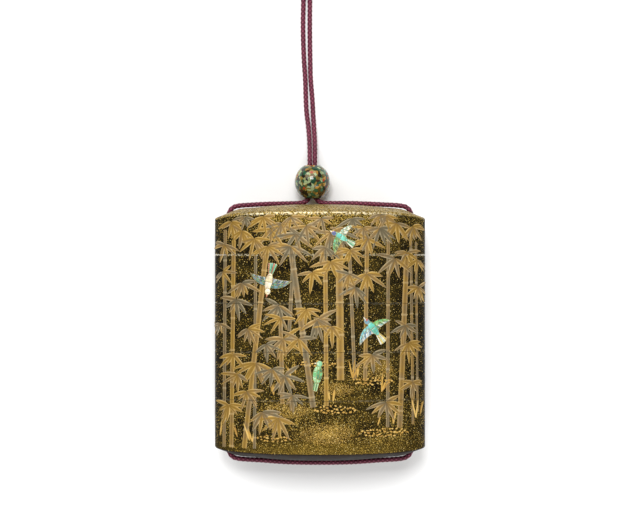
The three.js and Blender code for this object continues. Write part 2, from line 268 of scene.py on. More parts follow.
def raised_gold():
    """Raised lacquer in gold and in greyed gold. "tone" is 0 for gold, 1 for grey; "along" and "across"
    run over each leaf and stalk, the edge figure says how strong the painted highlight along the edges is,
    and "knuckle" is 1 at a joint. "light" and "shadow" are lit and shaded copies of the gold: painted
    highlight on the edges and joints, painted shade along the middles and at the leaves' roots; the
    shaded copy also darkens the grain specks."""
    material, n, place = new_material("raised_gold_lacquer")
    tone, along, knuckle = (n.attribute(name) for name in ("tone", "along", "knuckle"))
    rib = n.absolute(n.attribute("across"))
    grain = n.noise(place, 2600.0, 4.0)
    broad = n.noise(place, 300.0, 2.0)
    shade = n.math("ADD", tone, n.between(broad, 0.3, 0.7, -0.26, 0.26), clamp=True)
    base = n.ramp(shade, [(0.0, "#a2813b"), (0.35, "#987a47"), (0.7, "#857252"), (1.0, "#746a51")])
    shadow = n.ramp(shade, [(0.0, "#6a4e1c"), (1.0, "#4a412e")])
    light = n.ramp(shade, [(0.0, "#cdb076"), (1.0, "#b3a586")])
    # Painted shade along the middle of each leaf and stalk, painted highlight along the edges, painted
    # shade at the leaves' roots, painted highlight at the joints.
    base = n.mix(n.between(rib, 0.15, 0.62, 0.5, 0.0), base, shadow)
    base = n.mix(n.times(n.between(rib, 0.55, 0.95), n.attribute("edging")), base, light)
    base = n.mix(n.between(along, 0.0, 0.3, 0.4, 0.0), base, shadow)
    base = n.mix(n.times(knuckle, 0.5), base, light)
    base = n.mix(n.between(grain, 0.56, 0.72, 0.0, 0.4), base, shadow)
    return surface(material, n, base, n.between(grain, 0.3, 0.7, 0.4, 0.58), 0.35, grain, 0.00003,
                   Specular_IOR_Level=0.2)


def cut_gold():
    """Small bits of gold foil and coarse gold grain."""
    material, n, place = new_material("gold_foil")
    grain = n.noise(place, 3200.0, 3.0)
    base = n.ramp(n.attribute("tone"), [(0.0, "#a27a32"), (0.5, "#bf9644"), (1.0, "#dab565")])
    base = n.mix(n.between(grain, 0.5, 0.75, 0.0, 0.5), base, colour("#7c5a22"))
    return surface(material, n, base, n.between(grain, 0.3, 0.7, 0.35, 0.5), 0.3, grain, 0.00002)


def enamel():
    """Coloured enamel and shell inlay, whose colour is in "tint"."""
    material, n, place = new_material("enamel_inlay")
    drift = n.noise(place, 900.0, 3.0)
    barbs = n("ShaderNodeTexWave", {"Vector": place, "Scale": 900.0, "Distortion": 2.0}, out="Fac")
    base = n("ShaderNodeHueSaturation", {"Hue": n.between(drift, 0.25, 0.75, 0.47, 0.53),
                                         "Value": n.between(drift, 0.2, 0.8, 0.62, 0.98),
                                         "Saturation": 0.88, "Color": n.attribute("tint", "Color")})
    base = n.mix(n.times(n.between(barbs, 0.75, 1.0), 0.35), base, colour("#cfdcbc"))
    return surface(material, n, base, n.between(drift, 0.3, 0.7, 0.2, 0.36), 0.0, drift, 0.00003,
                   Coat_Weight=0.3, Coat_Roughness=0.12)


def gold_wire():
    material, n, place = new_material("gold_wire")
    grain = n.noise(place, 2400.0, 2.0)
    base = n.mix(grain, colour("#c69c4e"), colour("#f2dda0"))
    return surface(material, n, base, n.between(grain, 0.3, 0.7, 0.22, 0.4), 0.85)


def mosaic():
    """Chips of coloured glass and shell in dark lacquer, with round red dots, polished flush."""
    material, n, place = new_material("mosaic_lacquer")
    chips = n.ragged(place, 0.0008, 700.0, 2.0), 900.0
    draw = n.cells(*chips, "Color")
    joint = n.cells(*chips, "Distance", feature="DISTANCE_TO_EDGE")
    base = n.ramp(n.channel(draw, "Red"), [
        (0.0, "#98a878"), (0.1, "#35603f"), (0.2, "#6f5f28"), (0.32, "#221a0e"), (0.44, "#b0853a"),
        (0.54, "#1d4a31"), (0.66, "#a3a873"), (0.72, "#4f7a62"), (0.8, "#3f2716"), (0.9, "#84702f"),
    ], steps=True)
    value = n.between(n.channel(draw, "Green"), 0.0, 1.0, 0.58, 1.0)
    base = n("ShaderNodeHueSaturation", {"Value": value, "Color": base})
    dot = n.math("LESS_THAN", n.cells(place, 420.0, "Distance", 0.9), 0.2)
    kept = n.math("GREATER_THAN", n.channel(n.cells(place, 420.0, "Color", 0.9), "Blue"), 0.45)
    base = n.mix(n.between(joint, 0.0, 0.07, 0.7, 0.0), base, colour("#1b170b"))
    base = n.mix(n.times(dot, kept), base, colour("#9c3d20"))
    return surface(material, n, base, n.between(joint, 0.0, 0.06, 0.24, 0.12), 0.0, joint, 0.00003,
                   Specular_IOR_Level=0.15, Coat_Weight=0.6, Coat_Roughness=0.06)


def silk():
    """Plum braided silk: "braid" is 1 on top of a strand and 0 between strands. The colour follows it:
    painted shade between the strands, painted highlight on their tops.
    """
    material, n, place = new_material("braided_silk")
    thread = n.noise(place, 6500.0, 2.0)
    drift = n.noise(place, 260.0, 2.0)
    # Painted shade between the strands and painted highlight on their tops.
    base = n.ramp(n.attribute("braid"), [
        (0.0, "#19020c"), (0.4, "#4a0d22"), (0.75, "#71263d"), (1.0, "#9c586d")])
    base = n("ShaderNodeHueSaturation", {"Value": n.between(drift, 0.3, 0.7, 0.85, 1.12), "Color": base})
    base = n.mix(n.between(thread, 0.45, 0.7, 0.0, 0.35), base, colour("#430c20"))
    return surface(material, n, base, n.between(thread, 0.3, 0.7, 0.5, 0.68), 0.0, thread, 0.00003,
                   Specular_IOR_Level=0.3, Sheen_Weight=0.1, Sheen_Roughness=0.4,
                   Sheen_Tint=colour("#d99bb0"))


def table_top():
    material, n, place = new_material("pale_table")
    mottle = n.noise(place, 6.0, 3.0)
    base = n.mix(mottle, colour("#ededed"), colour("#f2f2f2"))
    return surface(material, n, base, 0.9)


LACQUER = lacquer_ground()
BLACK = black_lacquer()
RAISED = raised_gold()
FOIL = cut_gold()
ENAMEL = enamel()
WIRE = gold_wire()
MOSAIC = mosaic()
SILK = silk()


# ---------------------------------------------------------------- pieces and meshes

def mesh_of(name, points, faces, materials=(), finishes=None, edges=()):
    """A mesh from points in millimetres. finishes are the faces' material numbers."""
    mesh = bpy.data.meshes.new(name)
    mesh.from_pydata((np.asarray(points, float) * MM).tolist(), edges, faces)
    for material in materials:
        mesh.materials.append(material)
    if finishes is not None:
        mesh.polygons.foreach_set("material_index", finishes)
    return mesh


def coordinates(mesh):
    flat = np.zeros(len(mesh.vertices) * 3)
    mesh.vertices.foreach_get("co", flat)
    return flat.reshape(-1, 3) / MM


def store(mesh, name, values):
    """Keeps one number for each point under a name."""
    attribute = mesh.attributes.get(name) or mesh.attributes.new(name, "FLOAT", "POINT")
    attribute.data.foreach_set("value", np.asarray(values, np.float32))


def smoothed(mesh, angle=None):
    mesh.polygons.foreach_set("use_smooth", [True] * len(mesh.polygons))
    if angle is not None:
        mesh.set_sharp_from_angle(angle=math.radians(angle))
    return mesh


def outwards(mesh):
    work = bmesh.new()
    work.from_mesh(mesh)
    bmesh.ops.recalc_face_normals(work, faces=work.faces)
    work.to_mesh(mesh)
    work.free()
    return mesh


FIGURES = {"across", "along", "braid", "dust", "edging", "knuckle", "mist", "tint", "tone", "wear_and_sheen",
           "material_index", "sharp_face", "sharp_edge", "custom_normal"}


def slimmed(mesh):
    """Drops the empty material slots, and the figures that only the trees needed."""
    slots = np.empty(len(mesh.polygons), np.int32)
    mesh.polygons.foreach_get("material_index", slots)
    used, slots = np.unique(slots, return_inverse=True)
    kept = [mesh.materials[i] for i in used]
    mesh.materials.clear()
    for material in kept:
        mesh.materials.append(material)
    mesh.polygons.foreach_set("material_index", slots.astype(np.int32))
    for name in [a.name for a in mesh.attributes if not (a.is_required or a.is_internal)]:
        if name not in FIGURES:
            mesh.attributes.remove(mesh.attributes[name])


def added(name, data):
    """A new object in the scene."""
    thing = bpy.data.objects.new(name, data)
    scene.collection.objects.link(thing)
    return thing


def finished(name, mesh, slot, *replaced):
    """A piece of the inro, in place, that stands for its CAD nodes."""
    slimmed(mesh)
    mesh.name = name
    piece = added(name, mesh)
    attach(piece, "root")
    if replaced:
        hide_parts(*replaced)
    return piece


def joined(name, meshes):
    """Several meshes as one, with their materials and attributes."""
    parts = [added(name, mesh) for mesh in meshes]
    with bpy.context.temp_override(active_object=parts[0], selected_editable_objects=parts):
        bpy.ops.object.join()
    whole = parts[0].data
    bpy.data.objects.remove(parts[0])
    return whole


def baked(stand, helpers):
    """The plain mesh that an object's modifiers make. The object and its helpers aren't kept."""
    bpy.context.view_layer.update()
    depsgraph = bpy.context.evaluated_depsgraph_get()
    made = bpy.data.meshes.new_from_object(stand.evaluated_get(depsgraph), preserve_all_data_layers=True,
                                           depsgraph=depsgraph)
    stand.modifiers.clear()
    for used in (stand, *helpers):
        bpy.data.objects.remove(used)
    return made


def grown(name, source, tree, helpers=(), **sizes):
    """Runs a geometry tree on a mesh, with its named inputs, and gives the mesh it makes."""
    stand = added(name, source)
    modifier = stand.modifiers.new("tree", "NODES")
    modifier.node_group = tree
    named = {i.name: i.identifier for i in tree.interface.items_tree if i.in_out == "INPUT"}
    for key, value in sizes.items():
        modifier[named[key.replace("_", " ")]] = value
    return baked(stand, helpers)


# ---------------------------------------------------------------- geometry trees

LEAF_EDGE_HIGHLIGHT, STALK_EDGE_HIGHLIGHT = 0.85, 0.25      # how strong the painted highlight along the edges of the leaves and stalks is
JOINT_SWELL, JOINT_PINCH = 0.16, 0.07       # shares of a stalk's width, at a joint and beside it
LEAF_TURN = 0.27                            # how far a leaf strays from its place in the fan
LEAF_LENGTHS, LEAF_WIDTHS = (0.7, 1.22), (0.23, 0.3)
LEAF_TONES = 0.45                           # how far a leaf's tone strays from its spray's
LEAF_SKIN = 0.03 * MM                       # leaves of one spray differ by up to this in height
BIT_LENGTHS, BIT_WIDTHS, BIT_TURN = (0.6, 1.25), (0.4, 0.75), 0.5


def new_tree(name, **inputs):
    """A geometry tree with named inputs, its Nodes writer and its group inputs' outputs by name."""
    tree = bpy.data.node_groups.new(name, "GeometryNodeTree")
    tree.interface.new_socket("Geometry", in_out="INPUT", socket_type="NodeSocketGeometry")
    for key, kind in inputs.items():
        tree.interface.new_socket(key.replace("_", " "), in_out="INPUT", socket_type=f"NodeSocket{kind}")
    tree.interface.new_socket("Geometry", in_out="OUTPUT", socket_type="NodeSocketGeometry")
    entry = tree.nodes.new("NodeGroupInput")
    return tree, Nodes(tree), {s.name: s for s in entry.outputs if s.name}


def end_tree(n, geometry, material, where=True):
    """Every tree ends in real meshes with their material."""
    real = n("GeometryNodeRealizeInstances", {"Geometry": geometry})
    dressed = n("GeometryNodeSetMaterial", {"Geometry": real, "Material": material, "Selection": where})
    n("NodeGroupOutput", {"Geometry": dressed})


def stalk_tree():
    """Bamboo stalks from lines: each is a half-buried flat rod with a ring at every joint."""
    tree, n, given = new_tree("bamboo_stalks", Step="Float", Joint_Spacing="Float", Joint_Reach="Float",
                              Flatness="Float", Material="Material")
    line = n("GeometryNodeMeshToCurve", {"Mesh": given["Geometry"]})
    line = n("GeometryNodeResampleCurve", {"Curve": line, "Length": given["Step"]}, mode="LENGTH")
    run = n("GeometryNodeSplineParameter", out="Length")
    turns = n.plus(n.over(run, given["Joint Spacing"]), n.named("phase"))
    off = n.absolute(n.minus(n.math("FRACT", turns), 0.5))
    gap = n.over(n.times(off, given["Joint Spacing"]), given["Joint Reach"])
    ring = n.between(gap, 0.25, 1.0, 1.0, 0.0)
    pinch = n.times(n.between(gap, 0.6, 1.5, 0.0, 1.0), n.between(gap, 1.6, 4.0, 1.0, 0.0))
    swell = n.minus(n.times(ring, JOINT_SWELL), n.times(pinch, JOINT_PINCH))
    radius = n.times(n.named("half_width"), n.plus(1.0, swell))
    for name, value in (("knuckle", ring), ("along", 1.0), ("edging", STALK_EDGE_HIGHLIGHT), ("size", radius)):
        line = n.keep(line, name, value)
    section = n("GeometryNodeCurvePrimitiveCircle", {"Resolution": 12, "Radius": 1.0})
    section = n.keep(section, "across", n.parts_of(n.position())[0])
    feeds = {"Curve": line, "Profile Curve": section, "Fill Caps": True, "Scale": n.named("size")}
    rods = n("GeometryNodeCurveToMesh", feeds)
    rods = n("GeometryNodeTransform", {"Geometry": rods, "Scale": n.vector(1.0, 1.0, given["Flatness"])})
    lift = n.vector(0.0, 0.0, n.named("depth"))
    rods = n.moved(rods, Offset=lift)
    end_tree(n, rods, given["Material"])
    return tree


def spray_tree():
    """Sprays of bamboo leaves from points: the leaves fan out from each point and droop at their tips."""
    tree, n, given = new_tree("bamboo_leaves", Leaf="Object", Fan="Float", Droop="Float", Seed="Int",
                              Material="Material")
    hubs = n.keep(given["Geometry"], "hub", n.position(), "FLOAT_VECTOR")
    count = n.named("leaves", "INT")
    copies = n("GeometryNodeDuplicateElements", {"Geometry": hubs, "Amount": count}, domain="POINT")
    order = Nodes.socket(copies.node.outputs, "Duplicate Index")
    share = n.minus(n.over(n.plus(order, 0.5), count), 0.5)
    fan = n.times(share, n.times(given["Fan"], n.named("fan")))
    angle = n.plus(n.plus(n.named("aim"), fan), n.drawn(given, -LEAF_TURN, LEAF_TURN, 1))
    length = n.times(n.named("size"), n.drawn(given, *LEAF_LENGTHS, 2))
    width = n.times(n.named("size"), n.drawn(given, *LEAF_WIDTHS, 3))
    tone = n.plus(n.named("tone"), n.drawn(given, -LEAF_TONES, LEAF_TONES, 4))
    depth = n.plus(n.named("depth"), n.drawn(given, 0.0, LEAF_SKIN, 5))
    copies = n.keep(n.keep(copies, "tone", tone), "depth", depth)
    leaf = n("GeometryNodeObjectInfo", {"Object": given["Leaf"]}, out="Geometry")
    leaves = n.set_out(copies, leaf, angle, length, width, 1.0)
    leaves = n("GeometryNodeRealizeInstances", {"Geometry": leaves})
    feeds = {0: n.position(), 1: n.named("hub", "FLOAT_VECTOR")}
    from_hub = n("ShaderNodeVectorMath", feeds, operation="SUBTRACT")
    sideways = n.parts_of(from_hub)[0]
    fall = n.times(n.times(sideways, sideways), n.times(given["Droop"], -1.0))
    sag = n.vector(0.0, fall, n.named("depth"))
    leaves = n.moved(leaves, Offset=sag)
    end_tree(n, leaves, given["Material"])
    return tree


def foil_tree():
    """Bits of gold foil scattered over patches, flat side down."""
    tree, n, given = new_tree("gold_foil", Spacing="Float", Size="Float", Flatness="Float", Seed="Int",
                              Material="Material")
    crowd = n.over(3.0, n.times(given["Spacing"], given["Spacing"]))
    feeds = {"Mesh": given["Geometry"], "Distance Min": given["Spacing"], "Seed": given["Seed"],
             "Density Max": crowd, "Density Factor": 1.0}
    spots = n("GeometryNodeDistributePointsOnFaces", feeds, out="Points", distribute_method="POISSON")
    spots = n.keep(spots, "tone", n.drawn(given, 0.0, 1.0, 1))
    bit = n("GeometryNodeMeshIcoSphere", {"Radius": 1.0, "Subdivisions": 1}, out="Mesh")
    long = n.times(given["Size"], n.drawn(given, *BIT_LENGTHS, 2))
    wide = n.times(given["Size"], n.drawn(given, *BIT_WIDTHS, 3))
    thin = n.times(given["Size"], given["Flatness"])
    bits = n.set_out(spots, bit, n.drawn(given, -BIT_TURN, BIT_TURN, 4), long, wide, thin)
    end_tree(n, bits, given["Material"])
    return tree


def wire_tree():
    """Round gold wires along lines."""
    tree, n, given = new_tree("gold_wires", Radius="Float", Material="Material")
    path = n("GeometryNodeMeshToCurve", {"Mesh": given["Geometry"]})
    section = n("GeometryNodeCurvePrimitiveCircle", {"Resolution": 6, "Radius": 1.0})
    feeds = {"Curve": path, "Profile Curve": section, "Fill Caps": True, "Scale": given["Radius"]}
    end_tree(n, n("GeometryNodeCurveToMesh", feeds), given["Material"])
    return tree


def wrapping_tree():
    """Lays a flat drawing round the oval: x becomes the way round, y stays, and z stands off the wall.
    The drawing has its finishes already, so the material given only goes where it is."""
    tree, n, given = new_tree("round_the_oval", Half_Width="Float", Half_Thick="Float", Material="Material")
    ring = n("GeometryNodeCurvePrimitiveCircle", {"Resolution": 1440, "Radius": 1.0})
    size = n.vector(given["Half Width"], given["Half Thick"], 1.0)
    oval = n("GeometryNodeTransform", {"Geometry": ring, "Scale": size})
    girth = n("GeometryNodeCurveLength", {"Curve": oval})
    x, y, z = n.parts_of(n.position())
    from_side = n.minus(n.times(girth, 1.25), x)
    spot = n("GeometryNodeSampleCurve", {"Curves": oval, "Length": n.math("MODULO", from_side, girth)},
             out="Position", mode="LENGTH", use_all_curves=True)
    heading = Nodes.socket(spot.node.outputs, "Tangent")
    across, up, _ = n.parts_of(spot)
    head_x, head_z, _ = n.parts_of(heading)
    out_x = n.times(head_z, z)
    out_z = n.times(n.times(head_x, -1.0), z)
    placed = n.vector(n.plus(across, out_x), y, n.plus(up, out_z))
    laid = n.moved(given["Geometry"], Position=placed)
    same = n("GeometryNodeMaterialSelection", {"Material": given["Material"]})
    end_tree(n, laid, given["Material"], same)
    return tree


STALKS = stalk_tree()
SPRAYS = spray_tree()
FOILS = foil_tree()
WIRES = wire_tree()
WRAPPING = wrapping_tree()


def quarter_way():
    """A quarter of the oval: each x, and how far it is round from the middle of the front."""
    angles = np.linspace(0, math.pi / 2, 2001)
    x, z = GROUND[0] * np.sin(angles), GROUND[1] * np.cos(angles)
    return x, np.concatenate([[0], np.cumsum(np.hypot(np.diff(x), np.diff(z)))])


WAY = quarter_way()


def around(x):
    """How far round the oval a place is that is seen at x."""
    return math.copysign(np.interp(abs(x), *WAY), x)


def seen_x(way):
    """The x of a place so far round the oval."""
    return np.interp(np.abs(way), WAY[1], WAY[0]) * np.sign(way)


def wrapped(name, mesh, behind):
    """Wraps a flat drawing round the front, or round the back."""
    made = grown(name, mesh, WRAPPING, Half_Width=GROUND[0] * MM, Half_Thick=GROUND[1] * MM,
                 Material=RAISED)
    if behind:
        made.transform(Matrix.Rotation(math.pi, 4, "Y"))
    made.transform(Matrix.Translation((0, 0, HALF_THICK * MM)))
    return made


# ---------------------------------------------------------------- camera, light and table

CAMERA_PLACE = (0.0, 0.026, 0.4875)
LENS = 80.2
TABLE_REACH = 3000
AIM = Vector((0, 0, 0.012))     # what every light points at
WORLD_TONE, WORLD_STRENGTH = "#f8f6f2", 0.25


def studio():
    """The camera, the table, four soft lights and a pale sky."""
    camera = added("camera", bpy.data.cameras.new("camera"))
    camera.location = CAMERA_PLACE
    camera.data.lens = LENS
    camera.data.sensor_width = 36.0
    camera.data.clip_start = 0.01
    scene.camera = camera

    corners = [(x * TABLE_REACH, y * TABLE_REACH, 0) for x, y in ((-1, -1), (1, -1), (1, 1), (-1, 1))]
    table = added("table", mesh_of("table", corners, [(0, 1, 2, 3)], [table_top()]))

    def softbox(name, place, size, power):
        lamp = bpy.data.lights.new(name, "AREA")
        lamp.shape, lamp.size, lamp.size_y, lamp.energy = "RECTANGLE", size[0], size[1], power
        holder = added(name, lamp)
        holder.location = place
        holder.rotation_euler = (AIM - Vector(place)).to_track_quat("-Z", "Y").to_euler()

    softbox("key_light", (-0.3, 1.4, 1.3), (2.4, 1.6), 33.0)
    softbox("fill_light", (0.3, -1.3, 1.4), (2.4, 1.4), 29.0)
    softbox("foot_light", (0.0, -0.7, 0.2), (0.9, 0.1), 0.5)
    softbox("glint", (-0.06, 0.42, 0.9), (0.32, 0.32), 5.2)

    world = bpy.data.worlds.new("studio")
    scene.world = world
    world.use_nodes = True
    sky = world.node_tree.nodes["Background"].inputs
    sky["Color"].default_value, sky["Strength"].default_value = colour(WORLD_TONE), WORLD_STRENGTH
    scene.view_settings.view_transform = "Standard"


studio()


# ---------------------------------------------------------------- the cord

CORD_RADIUS = 0.85
ROUTE_LEFT = [
    (-30.4, 37.3, 12.5), (-30.4, 38.8, 12.5), (-29.95, 40.4, 12.45), (-28.8, 41.55, 12.25),
    (-27.2, 42.05, 11.9), (-22, 42.5, 10.5), (-17, 42.8, 9.1), (-11, 43.0, 7.5), (-6.65, 43.2, 6.35),
    (-5.05, 43.63, 6.1), (-3.88, 44.8, 6.0), (-3.45, 46.4, 6.0), (-3.45, 50.3, 6.0), (-3.45, 54.5, 6.0),
    (-3.45, 58.5, 5.3), (-3.5, 62.5, 4.0), (-3.7, 66.5, 2.65), (-4.1, 70.5, 1.6), (-4.6, 74.5, 1.0),
    (-4.8, 78.5, 0.85), (-5.05, 86, 0.85), (-5.45, 92, 0.85), (-5.7, 98, 0.85), (-5.8, 104, 0.85),
    (-5.65, 113.6, 0.85),
]
ROUTE_RIGHT = [
    (30.4, 37.3, 12.5), (30.4, 38.8, 12.5), (29.95, 40.4, 12.45), (28.8, 41.55, 12.3),
    (27.2, 42.05, 11.95), (20, 42.6, 10.35), (12, 43.0, 8.6), (6, 43.1, 7.3), (1.45, 43.2, 6.35),
    (-0.15, 43.63, 6.1), (-1.32, 44.8, 6.0), (-1.75, 46.4, 6.0), (-1.75, 50.3, 6.0), (-1.75, 54.5, 6.0),
    (-1.75, 58.5, 5.3), (-1.75, 62.5, 4.0), (-1.9, 66.5, 2.65), (-2.15, 70.5, 1.6), (-2.4, 74.5, 1.0),
    (-2.6, 78.5, 0.85), (-3.2, 86, 0.85), (-3.35, 92, 0.85), (-3.45, 98, 0.85), (-3.5, 104, 0.85),
    (-3.45, 113.6, 0.85),
]
UNDER_HALF = [
    (-30.4, -37.3, 12.5), (-30.4, -38.9, 12.5), (-29.95, -40.5, 12.5), (-28.8, -41.6, 12.5),
    (-27.2, -42.1, 12.5), (-20, -42.65, 12.5), (-10, -43.3, 12.5),
]
ROUTE_UNDER = UNDER_HALF + [(0, -43.45, 12.5)] + [(-x, y, z) for x, y, z in reversed(UNDER_HALF)]

STRANDS = 8                     # strands seen around the braid
PLAIT = 1.5                     # how far a strand goes along while it goes to its next neighbour's place
BRAID_DEPTH = 0.17


def smooth_route(points, spacing):
    """The route as a centripetal Catmull-Rom curve, cut into even steps."""
    p = np.array(points, float)
    p = np.vstack([2 * p[0] - p[1], p, 2 * p[-1] - p[-2]])
    dense = []
    for a, b, c, d in zip(p, p[1:], p[2:], p[3:]):
        t0 = 0.0
        t1 = t0 + math.sqrt(np.linalg.norm(b - a))
        t2 = t1 + math.sqrt(np.linalg.norm(c - b))
        t3 = t2 + math.sqrt(np.linalg.norm(d - c))
        t = np.linspace(t1, t2, 40, endpoint=False)[:, None]
        ab = (t1 - t) / (t1 - t0) * a + (t - t0) / (t1 - t0) * b
        bc = (t2 - t) / (t2 - t1) * b + (t - t1) / (t2 - t1) * c
        cd = (t3 - t) / (t3 - t2) * c + (t - t2) / (t3 - t2) * d
        abc = (t2 - t) / (t2 - t0) * ab + (t - t0) / (t2 - t0) * bc
        bcd = (t3 - t) / (t3 - t1) * bc + (t - t1) / (t3 - t1) * cd
        dense.append((t2 - t) / (t2 - t1) * abc + (t - t1) / (t2 - t1) * bcd)
    dense = np.vstack(dense + [p[-2][None]])
    run = np.concatenate([[0], np.cumsum(np.linalg.norm(np.diff(dense, axis=0), axis=1))])
    even = np.linspace(0, run[-1], max(2, round(run[-1] / spacing) + 1))
    return np.stack([np.interp(even, run, dense[:, i]) for i in range(3)], 1), even


def braid_height(turn, run):
    """How proud the silk stands, 0 to 1, at a turn round the cord and a run along it."""
    u = turn * STRANDS / 2 + run / PLAIT
    v = turn * STRANDS / 2 - run / PLAIT
    over = (np.floor(u) + np.floor(v)) % 2 == 0
    fu, fv = u % 1 - 0.5, v % 1 - 0.5
    across = np.where(over, fv, fu)
    lengthwise = np.where(over, fu, fv)
    return np.clip(np.cos(across * math.pi) * (0.55 + 0.45 * np.cos(lengthwise * math.pi)), 0, 1)


def braided(name, points, sides=24, spacing=0.125):
    """A braided cord along a route. Gives the mesh and the middle line in metres."""
    middle, run = smooth_route(points, spacing)
    ahead = np.gradient(middle, axis=0)
    ahead /= np.linalg.norm(ahead, axis=1)[:, None]
    side = np.zeros_like(middle)
    start = np.cross(ahead[0], (0.0, 0.0, 1.0))
    if np.linalg.norm(start) < 0.1:
        start = np.cross(ahead[0], (1.0, 0.0, 0.0))
    side[0] = start / np.linalg.norm(start)
    for i in range(1, len(middle)):
        carried = side[i - 1] - ahead[i] * (side[i - 1] @ ahead[i])
        side[i] = carried / np.linalg.norm(carried)
    up = np.cross(side, ahead)
    turns = np.arange(sides) / sides
    proud = braid_height(turns[None, :], run[:, None])
    radius = CORD_RADIUS - BRAID_DEPTH * (1 - proud)
    angle = 2 * math.pi * turns
    points = (middle[:, None] + radius[..., None] * (np.cos(angle)[None, :, None] * side[:, None]
                                                    + np.sin(angle)[None, :, None] * up[:, None]))
    rings = len(middle)
    grid = np.arange(rings * sides).reshape(rings, sides)
    nxt = np.roll(grid, -1, axis=1)
    quads = np.stack([grid[:-1], nxt[:-1], nxt[1:], grid[1:]], -1).reshape(-1, 4).tolist()
    caps = [grid[0, ::-1].tolist(), grid[-1].tolist()]
    mesh = mesh_of(name, points.reshape(-1, 3), quads + caps, [SILK])
    store(mesh, "braid", proud.ravel())
    return smoothed(outwards(mesh)), middle * MM


def cords():
    """The doubled silk cord: over the lid, up through the bead, and under the base."""
    made = {}
    for side, route in (("left", ROUTE_LEFT), ("right", ROUTE_RIGHT)):
        mesh, middle = braided(f"silk_cord_{side}", route)
        nodes = (f"cord_over_lid_{side}", f"cord_strand_{side}")
        made[side] = finished(f"silk_cord_{side}", mesh, "silk", *nodes), middle
    mesh, middle = braided("silk_cord_under_base", ROUTE_UNDER)
    made["under"] = finished("silk_cord_under_base", mesh, "silk", "cord_under_base"), middle
    for side in ("left", "right"):
        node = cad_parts[f"cord_channel_{side}"]
        node.data.materials.clear()
        node.data.materials.append(SILK)
    return made


silk_cords = cords()


# ---------------------------------------------------------------- the five sections

SEAM_ROUND = 0.13
CROWN_ROUND = 0.55
CORNER_STEPS = 4
RIM_STEPS = 6
DOME_STEPS = 14
WALL_STEPS = 18
GROUND_FINISH, BLACK_FINISH = 0, 1


def end_height(end, x, z):
    """How far the lid's top or the base reaches from the middle, over the oval."""
    across = np.minimum(1, np.abs(x) / HALF_WIDTH)
    out = np.minimum(1, np.hypot(x / HALF_WIDTH, z / HALF_THICK))
    swell = np.exp(-((np.abs(x) - SHOULDER["x"]) / SHOULDER["reach"]) ** 2) * (1 - out ** 8)
    return (end["side"] + end["arch"] * (1 - across ** ARCH_POWER) + end["dome"] * (1 - out ** DOME_POWER)
            + SHOULDER["height"] * swell)


def end_surface(end, sign, sunk):
    return lambda x, z: sign * (end_height(end, x, z) - sunk)


def oval_shell(name, rings, materials):
    """A smooth closed shell of rings (half width, half thickness, y, finish). y may vary over the oval."""
    angle = 2 * math.pi * np.arange(OVAL_SIDES) / OVAL_SIDES
    points, rows = [], []
    for half_width, half_thick, y, _ in rings:
        x, z = half_width * np.sin(angle), half_thick * np.cos(angle)
        if half_width == 0:
            x, z = x[:1], z[:1]
        height = y(x, z) if callable(y) else np.full_like(x, y)
        rows.append(len(points) + np.arange(len(x)))
        points.extend(zip(x, height, z))
    faces, finishes = [], []
    for low, high, ring in zip(rows, rows[1:], rings):
        for i in range(OVAL_SIDES):
            corners = [low[i % len(low)], low[(i + 1) % len(low)],
                       high[(i + 1) % len(high)], high[i % len(high)]]
            faces.append(list(dict.fromkeys(int(c) for c in corners)))
            finishes.append(ring[3])
    return outwards(mesh_of(name, points, faces, materials, finishes))


def corner(y, sign, radius, finish):
    """The rounded edge from the wall to the flat face at y."""
    rings = []
    for step in range(CORNER_STEPS + 1):
        turn = math.pi / 2 * step / CORNER_STEPS
        inset, drop = radius * (1 - math.cos(turn)), radius * (1 - math.sin(turn))
        rings.append((GROUND[0] - inset, GROUND[1] - inset, y - sign * drop, finish))
    return rings


def dome(end, sign, size, sunk, finish):
    """Rings from the middle of a domed end to its rim."""
    shares = [step / DOME_STEPS for step in range(DOME_STEPS)]
    return [(size[0] * s, size[1] * s, end_surface(end, sign, sunk), finish) for s in shares]


def rounded_rim(end, sign, finish):
    """The rounded edge from a domed end to the wall."""
    rings = []
    for step in range(RIM_STEPS + 1):
        turn = math.pi / 2 * step / RIM_STEPS
        inset = CROWN_ROUND * (1 - math.sin(turn))
        drop = CROWN_ROUND * (1 - math.cos(turn))
        rings.append((GROUND[0] - inset, GROUND[1] - inset, end_surface(end, sign, drop), finish))
    return rings


def wall(end, sign, flat):
    """The wall between a flat edge and a domed end's rim."""
    def level(share):
        return lambda x, z: flat + (sign * (end_height(end, x, z) - CROWN_ROUND) - flat) * share

    return [(*GROUND, level(1 - (i + 1) / (WALL_STEPS + 1)), GROUND_FINISH) for i in range(WALL_STEPS)]


def lid_rings():
    seam = SEAMS[0]
    edge = seam + SEAM_GAP / 2
    socket = seam + SKIRT_DEPTH
    rings = dome(CROWN, 1, (GROUND[0] - CROWN_ROUND, GROUND[1] - CROWN_ROUND), 0, GROUND_FINISH)
    rings += rounded_rim(CROWN, 1, GROUND_FINISH) + wall(CROWN, 1, edge + SEAM_ROUND)
    rings += corner(edge, -1, SEAM_ROUND, GROUND_FINISH)
    rings += [(*SKIRT, edge, BLACK_FINISH), (*SKIRT, socket, BLACK_FINISH), (*ROOM, socket, BLACK_FINISH)]
    roof = dome(CROWN, 1, ROOM, SHELL, BLACK_FINISH)
    return rings + [(*ROOM, end_surface(CROWN, 1, SHELL), BLACK_FINISH)] + roof[::-1]


def riser_rings(seam):
    edge, rim, ease = seam - SEAM_GAP / 2, seam + RISER_HEIGHT, 0.12
    return [
        (*RISER, edge, GROUND_FINISH), (*RISER, rim - ease, GROUND_FINISH),
        (RISER[0] - ease, RISER[1] - ease, rim, GROUND_FINISH),
        (ROOM[0] + ease, ROOM[1] + ease, rim, BLACK_FINISH), (*ROOM, rim - ease, BLACK_FINISH),
    ]


